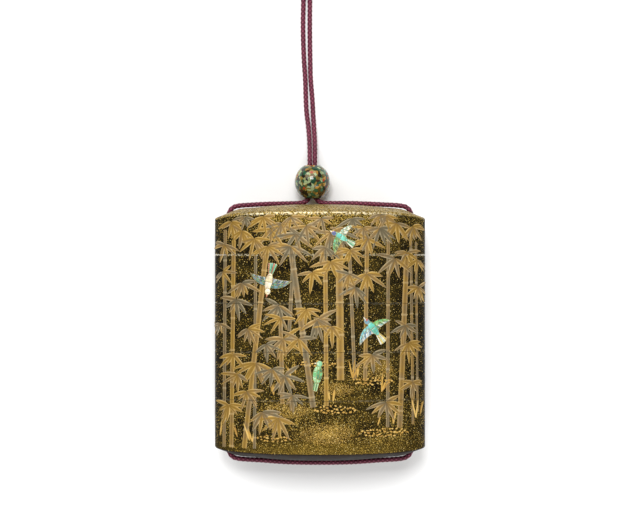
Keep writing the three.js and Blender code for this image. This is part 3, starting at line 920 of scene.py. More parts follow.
def middle_rings(top, bottom):
    low, high = bottom + SEAM_GAP / 2, top - SEAM_GAP / 2
    socket, floor = bottom + SKIRT_DEPTH, bottom + SKIRT_DEPTH + FLOOR
    rings = [(0, 0, socket, BLACK_FINISH), (*SKIRT, socket, BLACK_FINISH), (*SKIRT, low, BLACK_FINISH)]
    rings += corner(low, -1, SEAM_ROUND, GROUND_FINISH)[::-1]
    span = high - low - 2 * SEAM_ROUND
    rings += [(*GROUND, low + SEAM_ROUND + span * (i + 1) / (WALL_STEPS + 1), GROUND_FINISH)
              for i in range(WALL_STEPS)]
    rings += corner(high, 1, SEAM_ROUND, GROUND_FINISH) + riser_rings(top)
    return rings + [(*ROOM, floor, BLACK_FINISH), (0, 0, floor, BLACK_FINISH)]


def base_rings():
    seam = SEAMS[-1]
    edge = seam - SEAM_GAP / 2
    rings = dome(BASE, -1, (GROUND[0] - CROWN_ROUND, GROUND[1] - CROWN_ROUND), 0, BLACK_FINISH)
    rings += rounded_rim(BASE, -1, BLACK_FINISH)[:3] + rounded_rim(BASE, -1, GROUND_FINISH)[3:]
    rings += wall(BASE, -1, edge - SEAM_ROUND)
    rings += corner(edge, 1, SEAM_ROUND, GROUND_FINISH) + riser_rings(seam)
    inner = dome(BASE, -1, ROOM, SHELL, BLACK_FINISH)
    return rings + [(*ROOM, end_surface(BASE, -1, SHELL), BLACK_FINISH)] + inner[::-1]


# Where the gold is thick: (x, y, half width, half height, amount), each side seen square on.
FRONT_DUST = [
    (8, 34, 22, 6, 0.42), (-12, 39, 20, 3.5, 0.3), (14, 37, 14, 4, 0.25), (2, -32.6, 9.5, 3.8, 0.62),
    (-12, -25.0, 9, 3.2, 0.5), (6, -18.0, 7, 2.6, 0.4), (18, -11.5, 8, 3.4, 0.42), (-29, -31, 7, 6, 0.3),
    (28, -28, 7, 9, 0.25), (-25, -15, 10, 4, 0.15), (-6, -8, 9, 2.5, 0.2), (20, -34.5, 12, 2, 0.25),
]
FRONT_MIST = [
    (0, -38.0, 36, 3.6, 0.6), (-10, -13.0, 9, 1.6, 0.35), (11, -21.3, 11, 1.8, 0.35),
    (20, -27, 9, 1.6, 0.3), (-20, -3.0, 12, 1.5, 0.2), (0, 12, 14, 1.6, 0.15), (-2, -21.8, 12, 1.3, 0.2),
]
BACK_DUST = [
    (4, 37, 26, 5, 0.42), (12, 33, 14, 4, 0.3), (5, 0, 9, 5, 0.4), (8, -21, 12, 4, 0.55),
    (-4, -30, 14, 4, 0.55), (24, -31, 9, 5, 0.4), (12, -12, 11, 4, 0.35), (-26, -24, 9, 6, 0.25),
]
BACK_MIST = [
    (0, -38.0, 36, 3.8, 0.6), (8, -27, 13, 2, 0.35), (0, -6, 14, 1.8, 0.3), (-12, -12, 9, 1.8, 0.3),
    (-14, 4, 10, 1.6, 0.25), (18, 8, 10, 1.5, 0.2),
]
DUST_SPARSE = 0.12
# The roof's dust and mist, and its pale mark, which is painted reflection.
DUST_ROOF, MIST_ROOF, ROOF_SHEEN = 0.34, 0.75, 0.22
SIDE_SHADE = 0.4                 # painted shade: share of the gold taken away round the narrow sides, so that they look darker
SIDE_SHADE_STARTS, SIDE_SHADE_FADE = 24, 9
# The lid's rim is pale with wear and painted highlight in the middle, fading out towards the narrow sides.
RIM_PALE_REACH, RIM_PALE_FADE = 28, 7


def sprinkling(mesh):
    """Marks how thick the gold lies, thinned round the narrow sides as painted shade, and where the lid's
    rim is pale with wear and painted highlight and its roof pale with painted reflection.
    """
    x, y, z = coordinates(mesh).T
    front = z > 0

    def thickness(front_patches, back_patches, ground):
        total = np.full_like(x, ground)
        for patches, here, seen in ((front_patches, front, x), (back_patches, ~front, -x)):
            for px, py, half_width, half_height, amount in patches:
                away = ((seen - px) / half_width) ** 2 + ((y - py) / half_height) ** 2
                total += here * amount * np.exp(-away)
        return total

    # Painted shade: the dust and mist thin out round the narrow sides.
    dark = 1 - SIDE_SHADE * np.clip((np.abs(x) - SIDE_SHADE_STARTS) / SIDE_SHADE_FADE, 0, 1)
    dust = thickness(FRONT_DUST, BACK_DUST, DUST_SPARSE) * dark
    rim = end_height(CROWN, x, z)
    roof = (y > 30) & (rim - y < CROWN_ROUND * 0.9)
    dust = np.where(roof, DUST_ROOF, dust)
    near_rim = np.exp(-(((rim - y) - CROWN_ROUND * 0.75) / 0.28) ** 2) * (y > 30)
    store(mesh, "dust", dust)
    store(mesh, "mist", np.where(roof, MIST_ROOF, thickness(FRONT_MIST, BACK_MIST, 0.0) * dark))
    # The rim's pale mark is wear with painted highlight; the roof's is painted reflection.
    outside = np.hypot(x / 35, z / 12.3) > 0.9
    worn_and_lit = near_rim * outside * np.clip((RIM_PALE_REACH - np.abs(x)) / RIM_PALE_FADE, 0, 1)
    store(mesh, "wear_and_sheen", np.maximum(worn_and_lit, ROOF_SHEEN * roof))


def bored(mesh):
    """Drills the cord's two channels, in black lacquer."""
    body = added("body", mesh)
    drills = []
    for x in (-CHANNEL_X, CHANNEL_X):
        bpy.ops.mesh.primitive_cylinder_add(
            vertices=32, radius=CHANNEL_RADIUS * MM, depth=0.12,
            location=(x * MM, 0, 0), rotation=(math.pi / 2, 0, 0))
        drills.append(bpy.context.object)
        modifier = body.modifiers.new("channel", "BOOLEAN")
        modifier.object, modifier.operation, modifier.solver = drills[-1], "DIFFERENCE", "MANIFOLD"
    made = baked(body, drills)
    for face in made.polygons:
        spot = face.center / MM
        off = math.hypot(abs(spot.x) - CHANNEL_X, spot.z)
        if off < CHANNEL_RADIUS * 1.02 and abs(face.normal.y) < 0.5:
            face.material_index = BLACK_FINISH
    return made


def sections():
    """The five hollow lacquer sections."""
    rings = {"lid": lid_rings(), SECTIONS[-1]: base_rings()}
    for name, top, bottom in zip(SECTIONS[1:-1], SEAMS, SEAMS[1:]):
        rings[name] = middle_rings(top, bottom)
    for name in SECTIONS:
        mesh = bored(oval_shell(name, rings[name], [LACQUER, BLACK]))
        sprinkling(mesh)
        mesh.transform(Matrix.Translation((0, 0, HALF_THICK * MM)))
        finished(f"{name}_lacquer", smoothed(mesh, 35), "gold_lacquer", name)


# ---------------------------------------------------------------- the bamboo grove

# (x at the top, top, x at the foot, foot, width, tone), seen square on. Tone: 0 gold, 1 grey.
FRONT_STALKS = [
    (-28.3, 30.5, -29.1, -37.5, 1.5, 0.15), (-17.4, 27.5, -24.8, -37.5, 1.7, 0.3),
    (-12.8, 4.0, -12.2, -22.6, 1.4, 0.45), (-9.4, 27.0, -2.2, -23.8, 1.9, 0.75),
    (1.7, 26.6, 2.1, -23.4, 1.4, 0.2), (6.2, 30.4, 6.7, -15.0, 2.4, 0.3),
    (15.3, 29.4, 14.7, -15.2, 1.3, 0.35), (22.3, 32.0, 22.1, -30.6, 1.1, 0.6),
    (28.4, 24.5, 26.1, -30.8, 1.9, 0.35), (-31.2, 34.0, -31.6, -37.5, 1.3, 0.7),
    (-21.0, 25.5, -21.4, -37.5, 1.0, 0.8), (-8.6, 26.0, -10.0, 1.0, 1.2, 0.7),
    (9.6, 26.5, 11.3, -14.6, 1.1, 0.7), (29.8, 33.0, 30.6, -30.0, 1.0, 0.5),
    (31.6, 30.0, 32.2, -26.0, 0.9, 0.6),
]
BACK_STALKS = [
    (-29.2, 26.0, -28.4, -37.5, 1.6, 0.1), (-22.6, 31.0, -23.4, -30.2, 1.3, 0.4),
    (-14.2, 29.0, -11.0, -19.8, 1.7, 0.45), (-9.2, 30.2, -8.8, -16.4, 2.0, 0.3),
    (10.6, 30.0, 8.4, -18.2, 1.3, 0.3), (15.0, 33.0, 14.6, -15.6, 2.1, 0.55),
    (22.8, 27.6, 25.2, -35.8, 1.7, 0.35), (29.4, 31.0, 28.8, -37.5, 1.4, 0.6),
    (-32.2, 33.0, -30.6, -37.5, 1.3, 0.7), (-19.0, 26.0, -19.6, -37.5, 1.4, 0.35),
    (-4.4, 24.0, -4.0, -21.0, 1.2, 0.75), (18.8, 30.0, 18.4, -2.0, 1.0, 0.3),
    (31.8, 30.0, 32.4, -31.0, 1.1, 0.6),
]
# (x, y, leaf length) of each spray of leaves
FRONT_SPRAYS = [
    (-29, 36.5, 5.6), (-21.5, 31, 6.2), (-16, 34, 6.4), (-8, 32.5, 6.6), (-9.5, 38, 5.0), (0.5, 37.5, 5.4),
    (3.5, 23.5, 6.4), (-2.5, 20, 6.2), (7.6, 33, 5.8), (14, 34.5, 5.2), (25, 36, 6.2), (30.5, 35, 5.6),
    (24.5, 24.5, 6.6), (15.2, 19.5, 6.6), (11.5, 15, 5.8), (-25.5, 16.5, 6.0), (-27.5, 11, 6.4),
    (-13.5, 9.2, 6.6), (-1, 4.5, 6.8), (3.8, 2.5, 6.0), (28, 2.6, 5.8), (-12, -1.6, 6.4), (-7, -1.6, 6.0),
    (-28.5, -7, 6.0), (-21, -9.6, 6.8), (-11.5, -13.6, 6.6), (17, -7, 6.0), (29, -3.2, 6.0),
    (30.5, -16.2, 5.6), (21.5, -22.4, 6.4), (-30, -23.6, 6.2), (-18.8, -25.6, 6.4), (-13.6, -27.4, 6.6),
    (-32, 20, 5.0), (32.4, 15, 5.2), (32, 24, 5.0), (-33, 3, 4.6), (-24.5, 38, 4.6), (19.5, 39, 4.4),
    (-31.5, 29, 5.6), (-17.5, -3.5, 5.2), (-25.5, 33.5, 6.2), (-12.5, 36, 6.0), (-4.5, 35, 6.2),
    (3.5, 33, 6.0), (10.5, 37.5, 5.4), (19.5, 34.5, 6.2), (21.5, 38.5, 5.0), (-18.5, 38, 5.6),
    (-17, 28.5, 6.0), (-9.6, 28.5, 6.2), (1.6, 28.2, 6.0), (9.8, 27.2, 5.6), (15.6, 31, 5.8),
    (28.6, 26.5, 5.8), (-12.8, 5.2, 5.6), (-4.5, 8, 5.4), (9.5, 19.5, 5.6), (-23.5, 1.5, 5.4),
    (-27, -13.5, 5.8), (-24, -19, 5.6), (-15.5, -11.5, 5.8), (-9, -20, 5.2),
]
BACK_SPRAYS = [
    (-27, 37, 5.6), (-20.5, 33.5, 6.6), (-22, 27.5, 6.0), (-10, 35.5, 6.4), (-3.5, 31.8, 6.6),
    (2.5, 26.5, 6.0), (-12.5, 21.5, 6.6), (-4.5, 18.5, 6.4), (7.5, 38.5, 5.4), (14.5, 36.5, 5.8),
    (17.5, 23, 6.6), (26, 33.5, 6.6), (24, 19, 6.6), (29.5, 16.5, 5.4), (-29.5, 9.5, 6.4), (-21, 7.2, 6.6),
    (-27, 13.5, 5.4), (5, 12, 6.6), (-1.5, 7.2, 6.4), (10, 5, 6.6), (28, 3.5, 5.8), (-18.5, -5, 6.6),
    (-10.5, -5.8, 6.6), (-24.5, -9.2, 6.2), (-7.5, -10.4, 6.4), (22.5, -10.6, 6.6), (30.5, -9.5, 5.8),
    (-32, -20, 5.8), (-14, -22.6, 6.6), (-8.8, -25, 6.4), (-18, -28.4, 6.2), (22.2, -24, 6.2),
    (31.5, -20, 5.4), (-32.5, 24, 5.2), (32.5, 26, 5.2), (-33, -4, 4.8), (20, 39, 4.8), (-15, 39, 4.6),
    (33, 5, 4.8), (-30, 31, 5.8), (-14.5, 31, 6.0), (-8.5, 30.5, 6.2), (10.5, 31.5, 5.8),
    (-18.5, 36.5, 5.6), (30, 30, 6.0), (22.5, 29, 6.0), (-29.5, 26, 5.8), (8, 19.5, 5.6), (-8.5, 13, 5.8),
    (-15.5, 11, 5.6), (22, 9.5, 5.6), (14.5, -1.5, 5.6), (-28.5, 0, 5.6), (2.5, -4.5, 5.4),
    (-13.5, -16, 5.6), (26, -17.5, 5.4), (-26.5, -26, 5.6),
]
# (x, y, height) of young shoots
FRONT_SHOOTS = [
    (-9.4, -14, 4.2), (-8.0, -13, 3.4), (4.2, -22, 5.6), (3.2, -21.5, 4.2), (10.6, -14.5, 5.6),
    (12.2, -14, 4.2), (20, -19, 5.6), (18.8, -30, 4.2), (24, -29.5, 4.8), (-23, -35, 5.2),
    (-22, -35.5, 3.8), (31.6, -28, 6.2), (33, -27, 4.8), (-15, -20, 4.0), (-27, -34, 4.4), (-33, -34, 5.0),
]
BACK_SHOOTS = [
    (-32, -34, 7.0), (-30.6, -35, 5.0), (-19.6, -37, 8.2), (-18.6, -36, 6.0), (6.4, -16, 7.2),
    (7.8, -15, 5.8), (-1.8, -22, 5.0), (-20.2, -20, 4.8), (14.2, -12, 5.6), (28, -30, 4.4),
]
# Patches of scattered foil: (x, y, half width, half height)
FRONT_FOIL = [
    (-1, -9.6, 6, 0.8), (17, -15.4, 7, 1.2), (5, -24.6, 7, 1.3), (21, -32.2, 8.5, 1.3),
    (-15, -34, 5.5, 1.0),
]
BACK_FOIL = [
    (-3, -9.5, 11, 1.3), (16, -14.5, 8, 1.4), (-14, -29.5, 9, 1.4), (4, -25, 8, 1.5), (23, -31, 6, 1.3),
]
FRONT_GRAIN = [(2, -32.6, 8.6, 3.2), (-11, -24.8, 7.5, 2.4), (5.5, -18, 5.5, 2.0), (18, -11.4, 6.2, 2.8)]
BACK_GRAIN = [(8, -20.5, 9.5, 3.4), (-2, -30, 11, 3.4), (24, -32.6, 7.5, 3.4), (5, 0, 6, 3.6)]

JOINT_SPACING = 10.5
JOINT_REACH = 0.42
STALK_STEP = 0.33
STALK_FLATNESS = 0.085
STALK_DEPTHS = 0.012            # stalks that cross differ by up to this in height
LEAF_LIFT = 0.086
LEAF_DEPTHS = 0.025
LEAF_DROOP = 22.0
SPRAY_FAN = 3.75
SHOOT_FAN = 0.12                # shoots open this share of a spray's fan
SHOOT_LIFT = 0.06
SHOOT_SLIM = 0.5
FOIL_SPACING, FOIL_SIZE = 0.78, 0.52
GRAIN_SPACING, GRAIN_SIZE = 0.29, 0.14
FOIL_FLATNESS = 0.22


def marked_points(name, points, edges=(), **marks):
    """Bare points, or lines between them, with a number of each kind for every point."""
    mesh = mesh_of(name, points, [], edges=edges)
    for mark, values in marks.items():
        kind = "INT" if mark == "leaves" else "FLOAT"
        mesh.attributes.new(mark, kind, "POINT").data.foreach_set("value", list(values))
    return mesh


def stalk_lines(name, stalks, draw):
    points, edges, marks = [], [], {"half_width": [], "tone": [], "phase": [], "depth": []}
    for top_x, top, foot_x, foot, width, tone in stalks:
        edges.append((len(points), len(points) + 1))
        points += [(around(foot_x), foot, 0), (around(top_x), top, 0)]
        phase, depth = draw.random(), draw.uniform(0, STALK_DEPTHS) * MM
        for mark, value in zip(marks, (width / 2 * MM, tone, phase, depth)):
            marks[mark] += [value, value]
    return marked_points(name, points, edges, **marks)


def spray_points(name, sprays, draw, leaves, aim, fan, lift):
    marks = {"leaves": [], "size": [], "aim": [], "fan": [], "tone": [], "depth": []}
    for _, _, size in sprays:
        marks["leaves"].append(draw.randint(*leaves))
        marks["size"].append(size * MM)
        marks["aim"].append(aim + draw.uniform(-0.4, 0.4))
        marks["fan"].append(fan * draw.uniform(0.85, 1.1))
        marks["tone"].append(draw.choice((0.1, 0.25, 0.4, 0.6, 0.8)))
        marks["depth"].append((lift + draw.uniform(0, LEAF_DEPTHS)) * MM)
    return marked_points(name, [(around(x), y, 0) for x, y, _ in sprays], **marks)


def patches(name, ovals):
    points, faces = [], []
    for x, y, half_width, half_height in ovals:
        first, sides = len(points), 24
        for i in range(sides):
            turn = 2 * math.pi * i / sides
            points.append((around(x) + half_width * math.cos(turn), y + half_height * math.sin(turn), 0))
        faces.append(tuple(range(first, first + sides)))
    return mesh_of(name, points, faces)


def leaf_form():
    """One bamboo leaf, a unit long and a unit wide, rooted at the middle of its base."""
    stations = [0.03, 0.1, 0.2, 0.32, 0.46, 0.6, 0.74, 0.86, 0.95]
    section = [(-1, -0.11), (-0.82, 0.012), (-0.12, 0.036), (0, 0.052), (0.12, 0.036), (0.82, 0.012),
               (1, -0.11), (0, -0.16)]
    points, along, across, faces = [(0, 0, -0.05)], [0.0], [0.0], []
    for t in stations:
        half = 0.5 * 2.05 * t ** 0.55 * (1 - t) ** 0.82
        for u, z in section:
            points.append((t / MM, u * half / MM, z))
            along.append(t)
            across.append(u)
    points.append((1 / MM, 0, -0.05))
    along.append(1.0)
    across.append(0.0)
    size, last = len(section), len(points) - 1
    for k in range(size):
        after = (k + 1) % size
        faces.append((0, 1 + k, 1 + after))
        faces.append((last, last - size + after, last - size + k))
        for row in range(len(stations) - 1):
            a = 1 + row * size
            faces.append((a + k, a + after, a + size + after, a + size + k))
    mesh = mesh_of("leaf", points, faces)
    store(mesh, "along", along)
    store(mesh, "edging", [LEAF_EDGE_HIGHLIGHT] * len(points))
    store(mesh, "across", across)
    return added("leaf", outwards(mesh))


def grove(name, stalks, sprays, shoots, foil, grain, seed):
    """One flat drawing: stalks, leaves, shoots and scattered gold, still unwrapped."""
    draw = random.Random(seed)
    parts = [grown(name, stalk_lines(name, stalks, draw), STALKS, Step=STALK_STEP * MM,
                   Flatness=STALK_FLATNESS, Joint_Spacing=JOINT_SPACING * MM,
                   Joint_Reach=JOINT_REACH * MM, Material=RAISED)]
    down, up = -math.pi / 2, math.pi / 2
    groups = (
        (sprays, (6, 9), down, 1.0, LEAF_LIFT, LEAF_DROOP, 1.0, RAISED),
        (shoots, (2, 3), up, SHOOT_FAN, SHOOT_LIFT, 0.0, SHOOT_SLIM, FOIL),
    )
    for places, leaves, aim, fan, lift, droop, slim, material in groups:
        leaf = leaf_form()
        leaf.data.transform(Matrix.Diagonal((1, slim, 1, 1)))
        points = spray_points(name, places, draw, leaves, aim, fan, lift)
        parts.append(grown(name, points, SPRAYS, [leaf], Leaf=leaf, Fan=SPRAY_FAN, Droop=droop, Seed=seed,
                           Material=material))
    for places, spacing, size in ((foil, FOIL_SPACING, FOIL_SIZE), (grain, GRAIN_SPACING, GRAIN_SIZE)):
        parts.append(grown(name, patches(name, places), FOILS, Spacing=spacing * MM, Size=size * MM,
                           Flatness=FOIL_FLATNESS, Seed=seed, Material=FOIL))
    return joined(name, parts)


def cut_between(name, flat, low, high):
    """The part of a flat drawing between two edges. An edge is a height, or a function of the way round."""
    def level(edge, point):
        return (edge(point.co.x / MM) if callable(edge) else edge) * MM

    work = bmesh.new()
    work.from_mesh(flat)
    for edge, sign in ((low, -1), (high, 1)):
        for v in work.verts:
            v.co.y -= level(edge, v)
        gone = [f for f in work.faces if all(v.co.y * sign > 0 for v in f.verts)]
        bmesh.ops.delete(work, geom=gone, context="FACES")
        near = [f for f in work.faces if any(v.co.y * sign > 0 for v in f.verts)]
        # Dictionaries keep their order, so that every run gives the same mesh.
        sides = dict.fromkeys(e for f in near for e in f.edges)
        corners = dict.fromkeys(v for f in near for v in f.verts)
        cut = bmesh.ops.bisect_plane(work, geom=[*near, *sides, *corners], plane_co=(0, 0, 0),
                                     plane_no=(0, sign, 0), clear_outer=True, dist=1e-8)
        rims = [g for g in cut["geom_cut"] if isinstance(g, bmesh.types.BMEdge)]
        bmesh.ops.holes_fill(work, edges=rims)
        for v in work.verts:
            v.co.y += level(edge, v)
    made = bpy.data.meshes.new(name)
    work.to_mesh(made)
    work.free()
    for material in flat.materials:
        made.materials.append(material)
    return made


def rim_edge(end, sign):
    """Where the drawing stops under a domed end's rounded rim."""
    def edge(way):
        across = min(1, abs(seen_x(way)) / HALF_WIDTH)
        return sign * (end["side"] + end["arch"] * (1 - across ** ARCH_POWER) - CROWN_ROUND * 0.7)

    return edge


def bamboo():
    """Each section's share of the grove, front and back."""
    front = grove("front_grove", FRONT_STALKS, FRONT_SPRAYS, FRONT_SHOOTS, FRONT_FOIL, FRONT_GRAIN, 11)
    back = grove("back_grove", BACK_STALKS, BACK_SPRAYS, BACK_SHOOTS, BACK_FOIL, BACK_GRAIN, 23)
    highs = [rim_edge(CROWN, 1)] + [seam - SEAM_GAP / 2 for seam in SEAMS]
    lows = [seam + SEAM_GAP / 2 for seam in SEAMS] + [rim_edge(BASE, -1)]
    for name, low, high in zip(SECTIONS, lows, highs):
        sides = [wrapped(name, cut_between(name, flat, low, high), behind)
                 for flat, behind in ((front, False), (back, True))]
        finished(f"{name}_bamboo", smoothed(joined(name, sides), 40), "gold_lacquer")


# ---------------------------------------------------------------- the birds

def bezier(a, b, c):
    a, b, c = (np.array(point, float) for point in (a, b, c))
    return lambda t: a * (1 - t) ** 2 + b * 2 * t * (1 - t) + c * t * t


def blade(start, front, tip, back, end):
    """The two edges of a wing, both running out to its tip."""
    return bezier(start, front, tip), bezier(end, back, tip)


def fan(root, ends):
    """The two edges across a tail: its root, and the curve of its feathers' ends."""
    return bezier(root[0], np.mean(root, axis=0), root[1]), bezier(*ends)


def oval(x, y, half_x, half_y, upright=False):
    """The two edges of an oval, running along it: from -x to +x, or from its foot if it is upright."""
    def edge(side):
        def place(t):
            along, across = -math.cos(math.pi * t), side * math.sin(math.pi * t)
            return np.array((x - half_x * across, y + half_y * along) if upright
                            else (x + half_x * along, y + half_y * across))
        return place

    return edge(1), edge(-1)


def cell(edges, inner, outer, near, far, bulge=0.0):
    """The outline of a patch between two edges. inner and outer are its two ends' reach along them."""
    def place(s, v):
        t = np.interp(s, (0, 1), inner) * (1 - v) + np.interp(s, (0, 1), outer) * v
        u = near + (far - near) * v
        return edges[0](t) * (1 - u) + edges[1](t) * u

    up, over = np.linspace(0, 1, 4), np.linspace(0, 1, 7)
    walk = [(0, v) for v in up[:-1]] + [(s, 1 + bulge * math.sin(math.pi * s)) for s in over[:-1]]
    walk += [(1, v) for v in up[:0:-1]] + [(s, 0) for s in over[:0:-1]]
    outline = []
    for point in (place(s, v) for s, v in walk):
        if all(np.linalg.norm(point - other) > 0.03 for other in outline):
            outline.append(point)
    return np.array(outline)


def row(edges, count, near, far, height, tints, bend=1.0, bulge=0.0):
    """A row of feathers between two edges, as (outline, height, colour)."""
    made = []
    for i in range(count):
        inner = (i / count, (i + 1) / count)
        outer = [t ** bend for t in inner]
        made.append((cell(edges, inner, outer, near, far, bulge), height, tints[i % len(tints)]))
    return made


def spot(x, y, size, height, tint):
    return cell(oval(x, y, size, size), (0, 1), (0, 1), 0, 1), height, tint


def flying(look):
    made = []
    wings = ((blade((1.7, 0.3), (2.4, 4.4), (-1.9, 7.3), (-0.9, 3.6), (-1.5, 0.4)), look["left"]),
             (blade((1.4, -0.3), (1.8, -3.9), (-1.7, -6.6), (-0.9, -3), (-1.5, -0.4)), look["right"]))
    for edges, tints in wings:
        shoulder, covert, feather = (part.split() for part in tints.split("/"))
        made += row(edges, 5, 0.0, 0.3, 0.48, shoulder, 1.0, 0.1)
        made += row(edges, 7, 0.3, 0.56, 0.44, covert, 0.85, 0.12)
        made += row(edges, 10, 0.56, 1.0, 0.38, feather, 0.7, 0.12)
    tail = fan([(-2.2, 0.6), (-2.2, -0.6)], [(-6, 1.5), (-6.4, -0.2), (-5.8, -1.4)])
    made += row(tail, 5, 0, 1, 0.36, look["tail"], 1.0, 0.05)
    made += row(oval(0, 0, 3, 1.15), 4, 0, 1, 0.56, look["body"])
    made += row(oval(3.1, 0.3, 1.1, 0.95), 1, 0, 1, 0.6, look["head"])
    made += [spot(3.5, 0.05, 0.5, 0.63, look["face"]), spot(3.35, 0.5, 0.2, 0.66, "#0d0d12")]
    return made + [(np.array([(4, 0.75), (3.9, -0.1), (5.2, 0.2)]), 0.5, look["beak"])]


def standing(look):
    body = oval(0, 0, 1.5, 3, upright=True)
    tail = fan([(-0.9, -2), (0.9, -2)], [(-1, -5.2), (-0.3, -5.6), (0.3, -5.5)])
    made = row(tail, 4, 0, 1, 0.38, look["tail"])
    made += row(body, 5, 0, 0.42, 0.5, look["body"], 1.0, 0.1)
    made += row(body, 6, 0.42, 0.7, 0.56, look["left"].split(), 1.0, 0.12)
    made += row(body, 7, 0.7, 1.0, 0.5, look["right"].split(), 0.9, 0.08)
    made += row(oval(0.3, 3.5, 1, 1.05), 1, 0, 1, 0.6, look["head"])
    made += [spot(-0.15, 3.45, 0.42, 0.63, look["face"]), spot(0.1, 3.85, 0.19, 0.66, "#0d0d12")]
    return made + [(np.array([(-0.4, 4), (-1.7, 3.5), (-0.4, 3.2)]), 0.5, look["beak"])]


def walking(look):
    body = oval(0, 0, 3.5, 1.9)
    tail = fan([(2.6, 0.9), (2.6, -1)], [(6.4, 0.9), (6.5, 0.2), (6.2, -0.5)])
    made = row(tail, 4, 0, 1, 0.38, look["tail"])
    made += row(body, 6, 0, 0.32, 0.52, look["body"], 1.0, 0.1)
    made += row(body, 7, 0.32, 0.68, 0.58, look["left"].split(), 1.0, 0.15)
    made += row(body, 5, 0.68, 1.0, 0.5, look["right"].split(), 1.0, 0.0)
    made += row(oval(-3.7, 1.1, 1.3, 1.05), 1, 0, 1, 0.6, look["head"])
    made += [spot(-4.1, 0.85, 0.5, 0.63, look["face"]), spot(-4.0, 1.4, 0.2, 0.66, "#0d0d12")]
    return made + [(np.array([(-4.6, 1.6), (-6, 1), (-4.7, 0.7)]), 0.5, look["beak"])]


GREEN_WING = "#2f9a58 #3fb06a / #1f7a48 #69b564 / #2c6e44 #9fb86a #1f5f52"
PALE_WING = "#cfe3cf #9fc9b0 / #e4e8d4 #7fb59a / #dfe6d2 #6f9a86 #f0efdc"
BLUE_WING = "#2f6a5a #3a7a8a / #24506e #3d8a6a / #2a4a76 #8fa9b4 #2c5c4a"
SKY_WING = "#4fb9c4 #79d0cf / #3a86a8 #b8dfe0 / #dfeaec #4a86a6 #c8d8dc"
TEAL_WING = "#2cb5a0 #52c9a6 / #1f8a80 #3fa05a / #1c7068 #7fc4a0 #2f8f4f"
LEAF_WING = "#2fae4c #58c85a / #238f4a #7fcf7a / #8fc7d0 #2a7f60 #dfe8d8"


def bird(form, at, turn, size, left, right, tail, body, head, flip=False):
    """A bird's form, place, turn in degrees, size and colours. A flying bird's wings have three rows of
    feathers each; head gives its head, cheek and beak."""
    crown, face, beak = head.split()
    look = {"left": left, "right": right, "tail": tail.split(), "body": body.split(), "head": [crown],
            "face": face, "beak": beak}
    return form, at, turn, size, flip, look


BIRDS = {
    "bird_front_top": bird(
        flying, (6.8, 31.6), 148, 0.82, GREEN_WING, PALE_WING,
        "#dfe8d0 #3f9e74 #8fd0a2", "#3fc0ac #58d0b4", "#3c4a9a #7a4fa0 #f1efe0"),
    "bird_front_left": bird(
        flying, (-16.6, 16.9), 258, 1.0, BLUE_WING, BLUE_WING,
        "#5fbf95 #b5452f #2f9a78", "#efe2bf #e4d0a0", "#f1e6c8 #e8d2a4 #bf3a28"),
    "bird_front_right": bird(
        flying, (17.2, 1.9), 128, 0.95, SKY_WING, LEAF_WING,
        "#f1f0dc #e2c53a #cfe0c4", "#38c4ac #2fae9a", "#5f93ab #b8402e #f3f0e4"),
    "bird_front_standing": bird(
        standing, (-0.8, -13.1), -6, 1.0, "#2f9a4c #a6dc98 #1f7a40", "#1f6b3c #58b862",
        "#2a8a4a #b2dfa0", "#58b96a #8fd08a", "#6fc48a #c4e6b8 #e9e4c4"),
    "bird_back_top": bird(
        flying, (17.2, 31.4), 62, 0.8, PALE_WING, TEAL_WING,
        "#3fae8a #cfe6c8 #2f8a6a", "#3cc4b4 #34a88a", "#3f9f8c #d8e6c4 #efe9cf"),
    "bird_back_left": bird(
        flying, (-17.6, 17.2), 103, 0.95, GREEN_WING, TEAL_WING,
        "#3fa86a #e2e6b4 #2c8f74", "#52c08a #38b09a", "#8a3f7a #c2402f #efe0b8"),
    "bird_back_right": bird(
        flying, (18.4, 2.2), 56, 0.92, SKY_WING, TEAL_WING,
        "#38b0a4 #e8ecd8 #2c8a86", "#3f9f58 #dfe6cc", "#2f4a8f #e9e4cc #e8dcb0"),
    "bird_back_standing_left": bird(
        standing, (-16.4, -13.8), 4, 1.0, "#2fae9a #d8b44a #238a78", "#1f7a62 #4fbf94",
        "#2f8f7a #c9d8a0", "#52c4a4 #9fdcc0", "#38a48c #e2e8c8 #e9dcae"),
    "bird_back_standing_right": bird(
        standing, (12.2, -12.9), -3, 1.0, "#34b06a #dcb850 #1f8a5a", "#2c8f86 #58c8a0",
        "#2f9a6a #d0d89c", "#4cbf8c #b4e0b0", "#2f9f94 #cf5a3a #e9dcae", flip=True),
    "bird_back_walking": bird(
        walking, (16.9, -29.2), 3, 1.0, "#a4442c #d08a4a #7a2f28", "#bfe4cc #7fcfb8",
        "#2f9a58 #7fc070", "#3cc0b4 #2fa49c", "#2f5fa0 #dfe6d8 #e6d9a8"),
}
PLATE_GAP = 0.035
WIRE_RADIUS = 0.06
# (size, lift, brightness) of each ring of a plate, from the rim in: painted shade darkens each plate
# towards its rim.
PLATE_RINGS = ((1.0, None, 0.7), (1.0, 0.74, 0.8), (0.86, 0.94, 0.95), (0.5, 1.0, 1.05))
BURIED = -0.08


def shrunk(outline, gap):
    """The outline moved inwards."""
    before, after = np.roll(outline, 1, axis=0), np.roll(outline, -1, axis=0)
    turn = np.sign(np.sum(outline[:, 0] * after[:, 1] - after[:, 0] * outline[:, 1]))
    along = after - before
    inwards = np.stack([-along[:, 1], along[:, 0]], 1) * turn
    return outline + gap * inwards / np.linalg.norm(inwards, axis=1)[:, None]


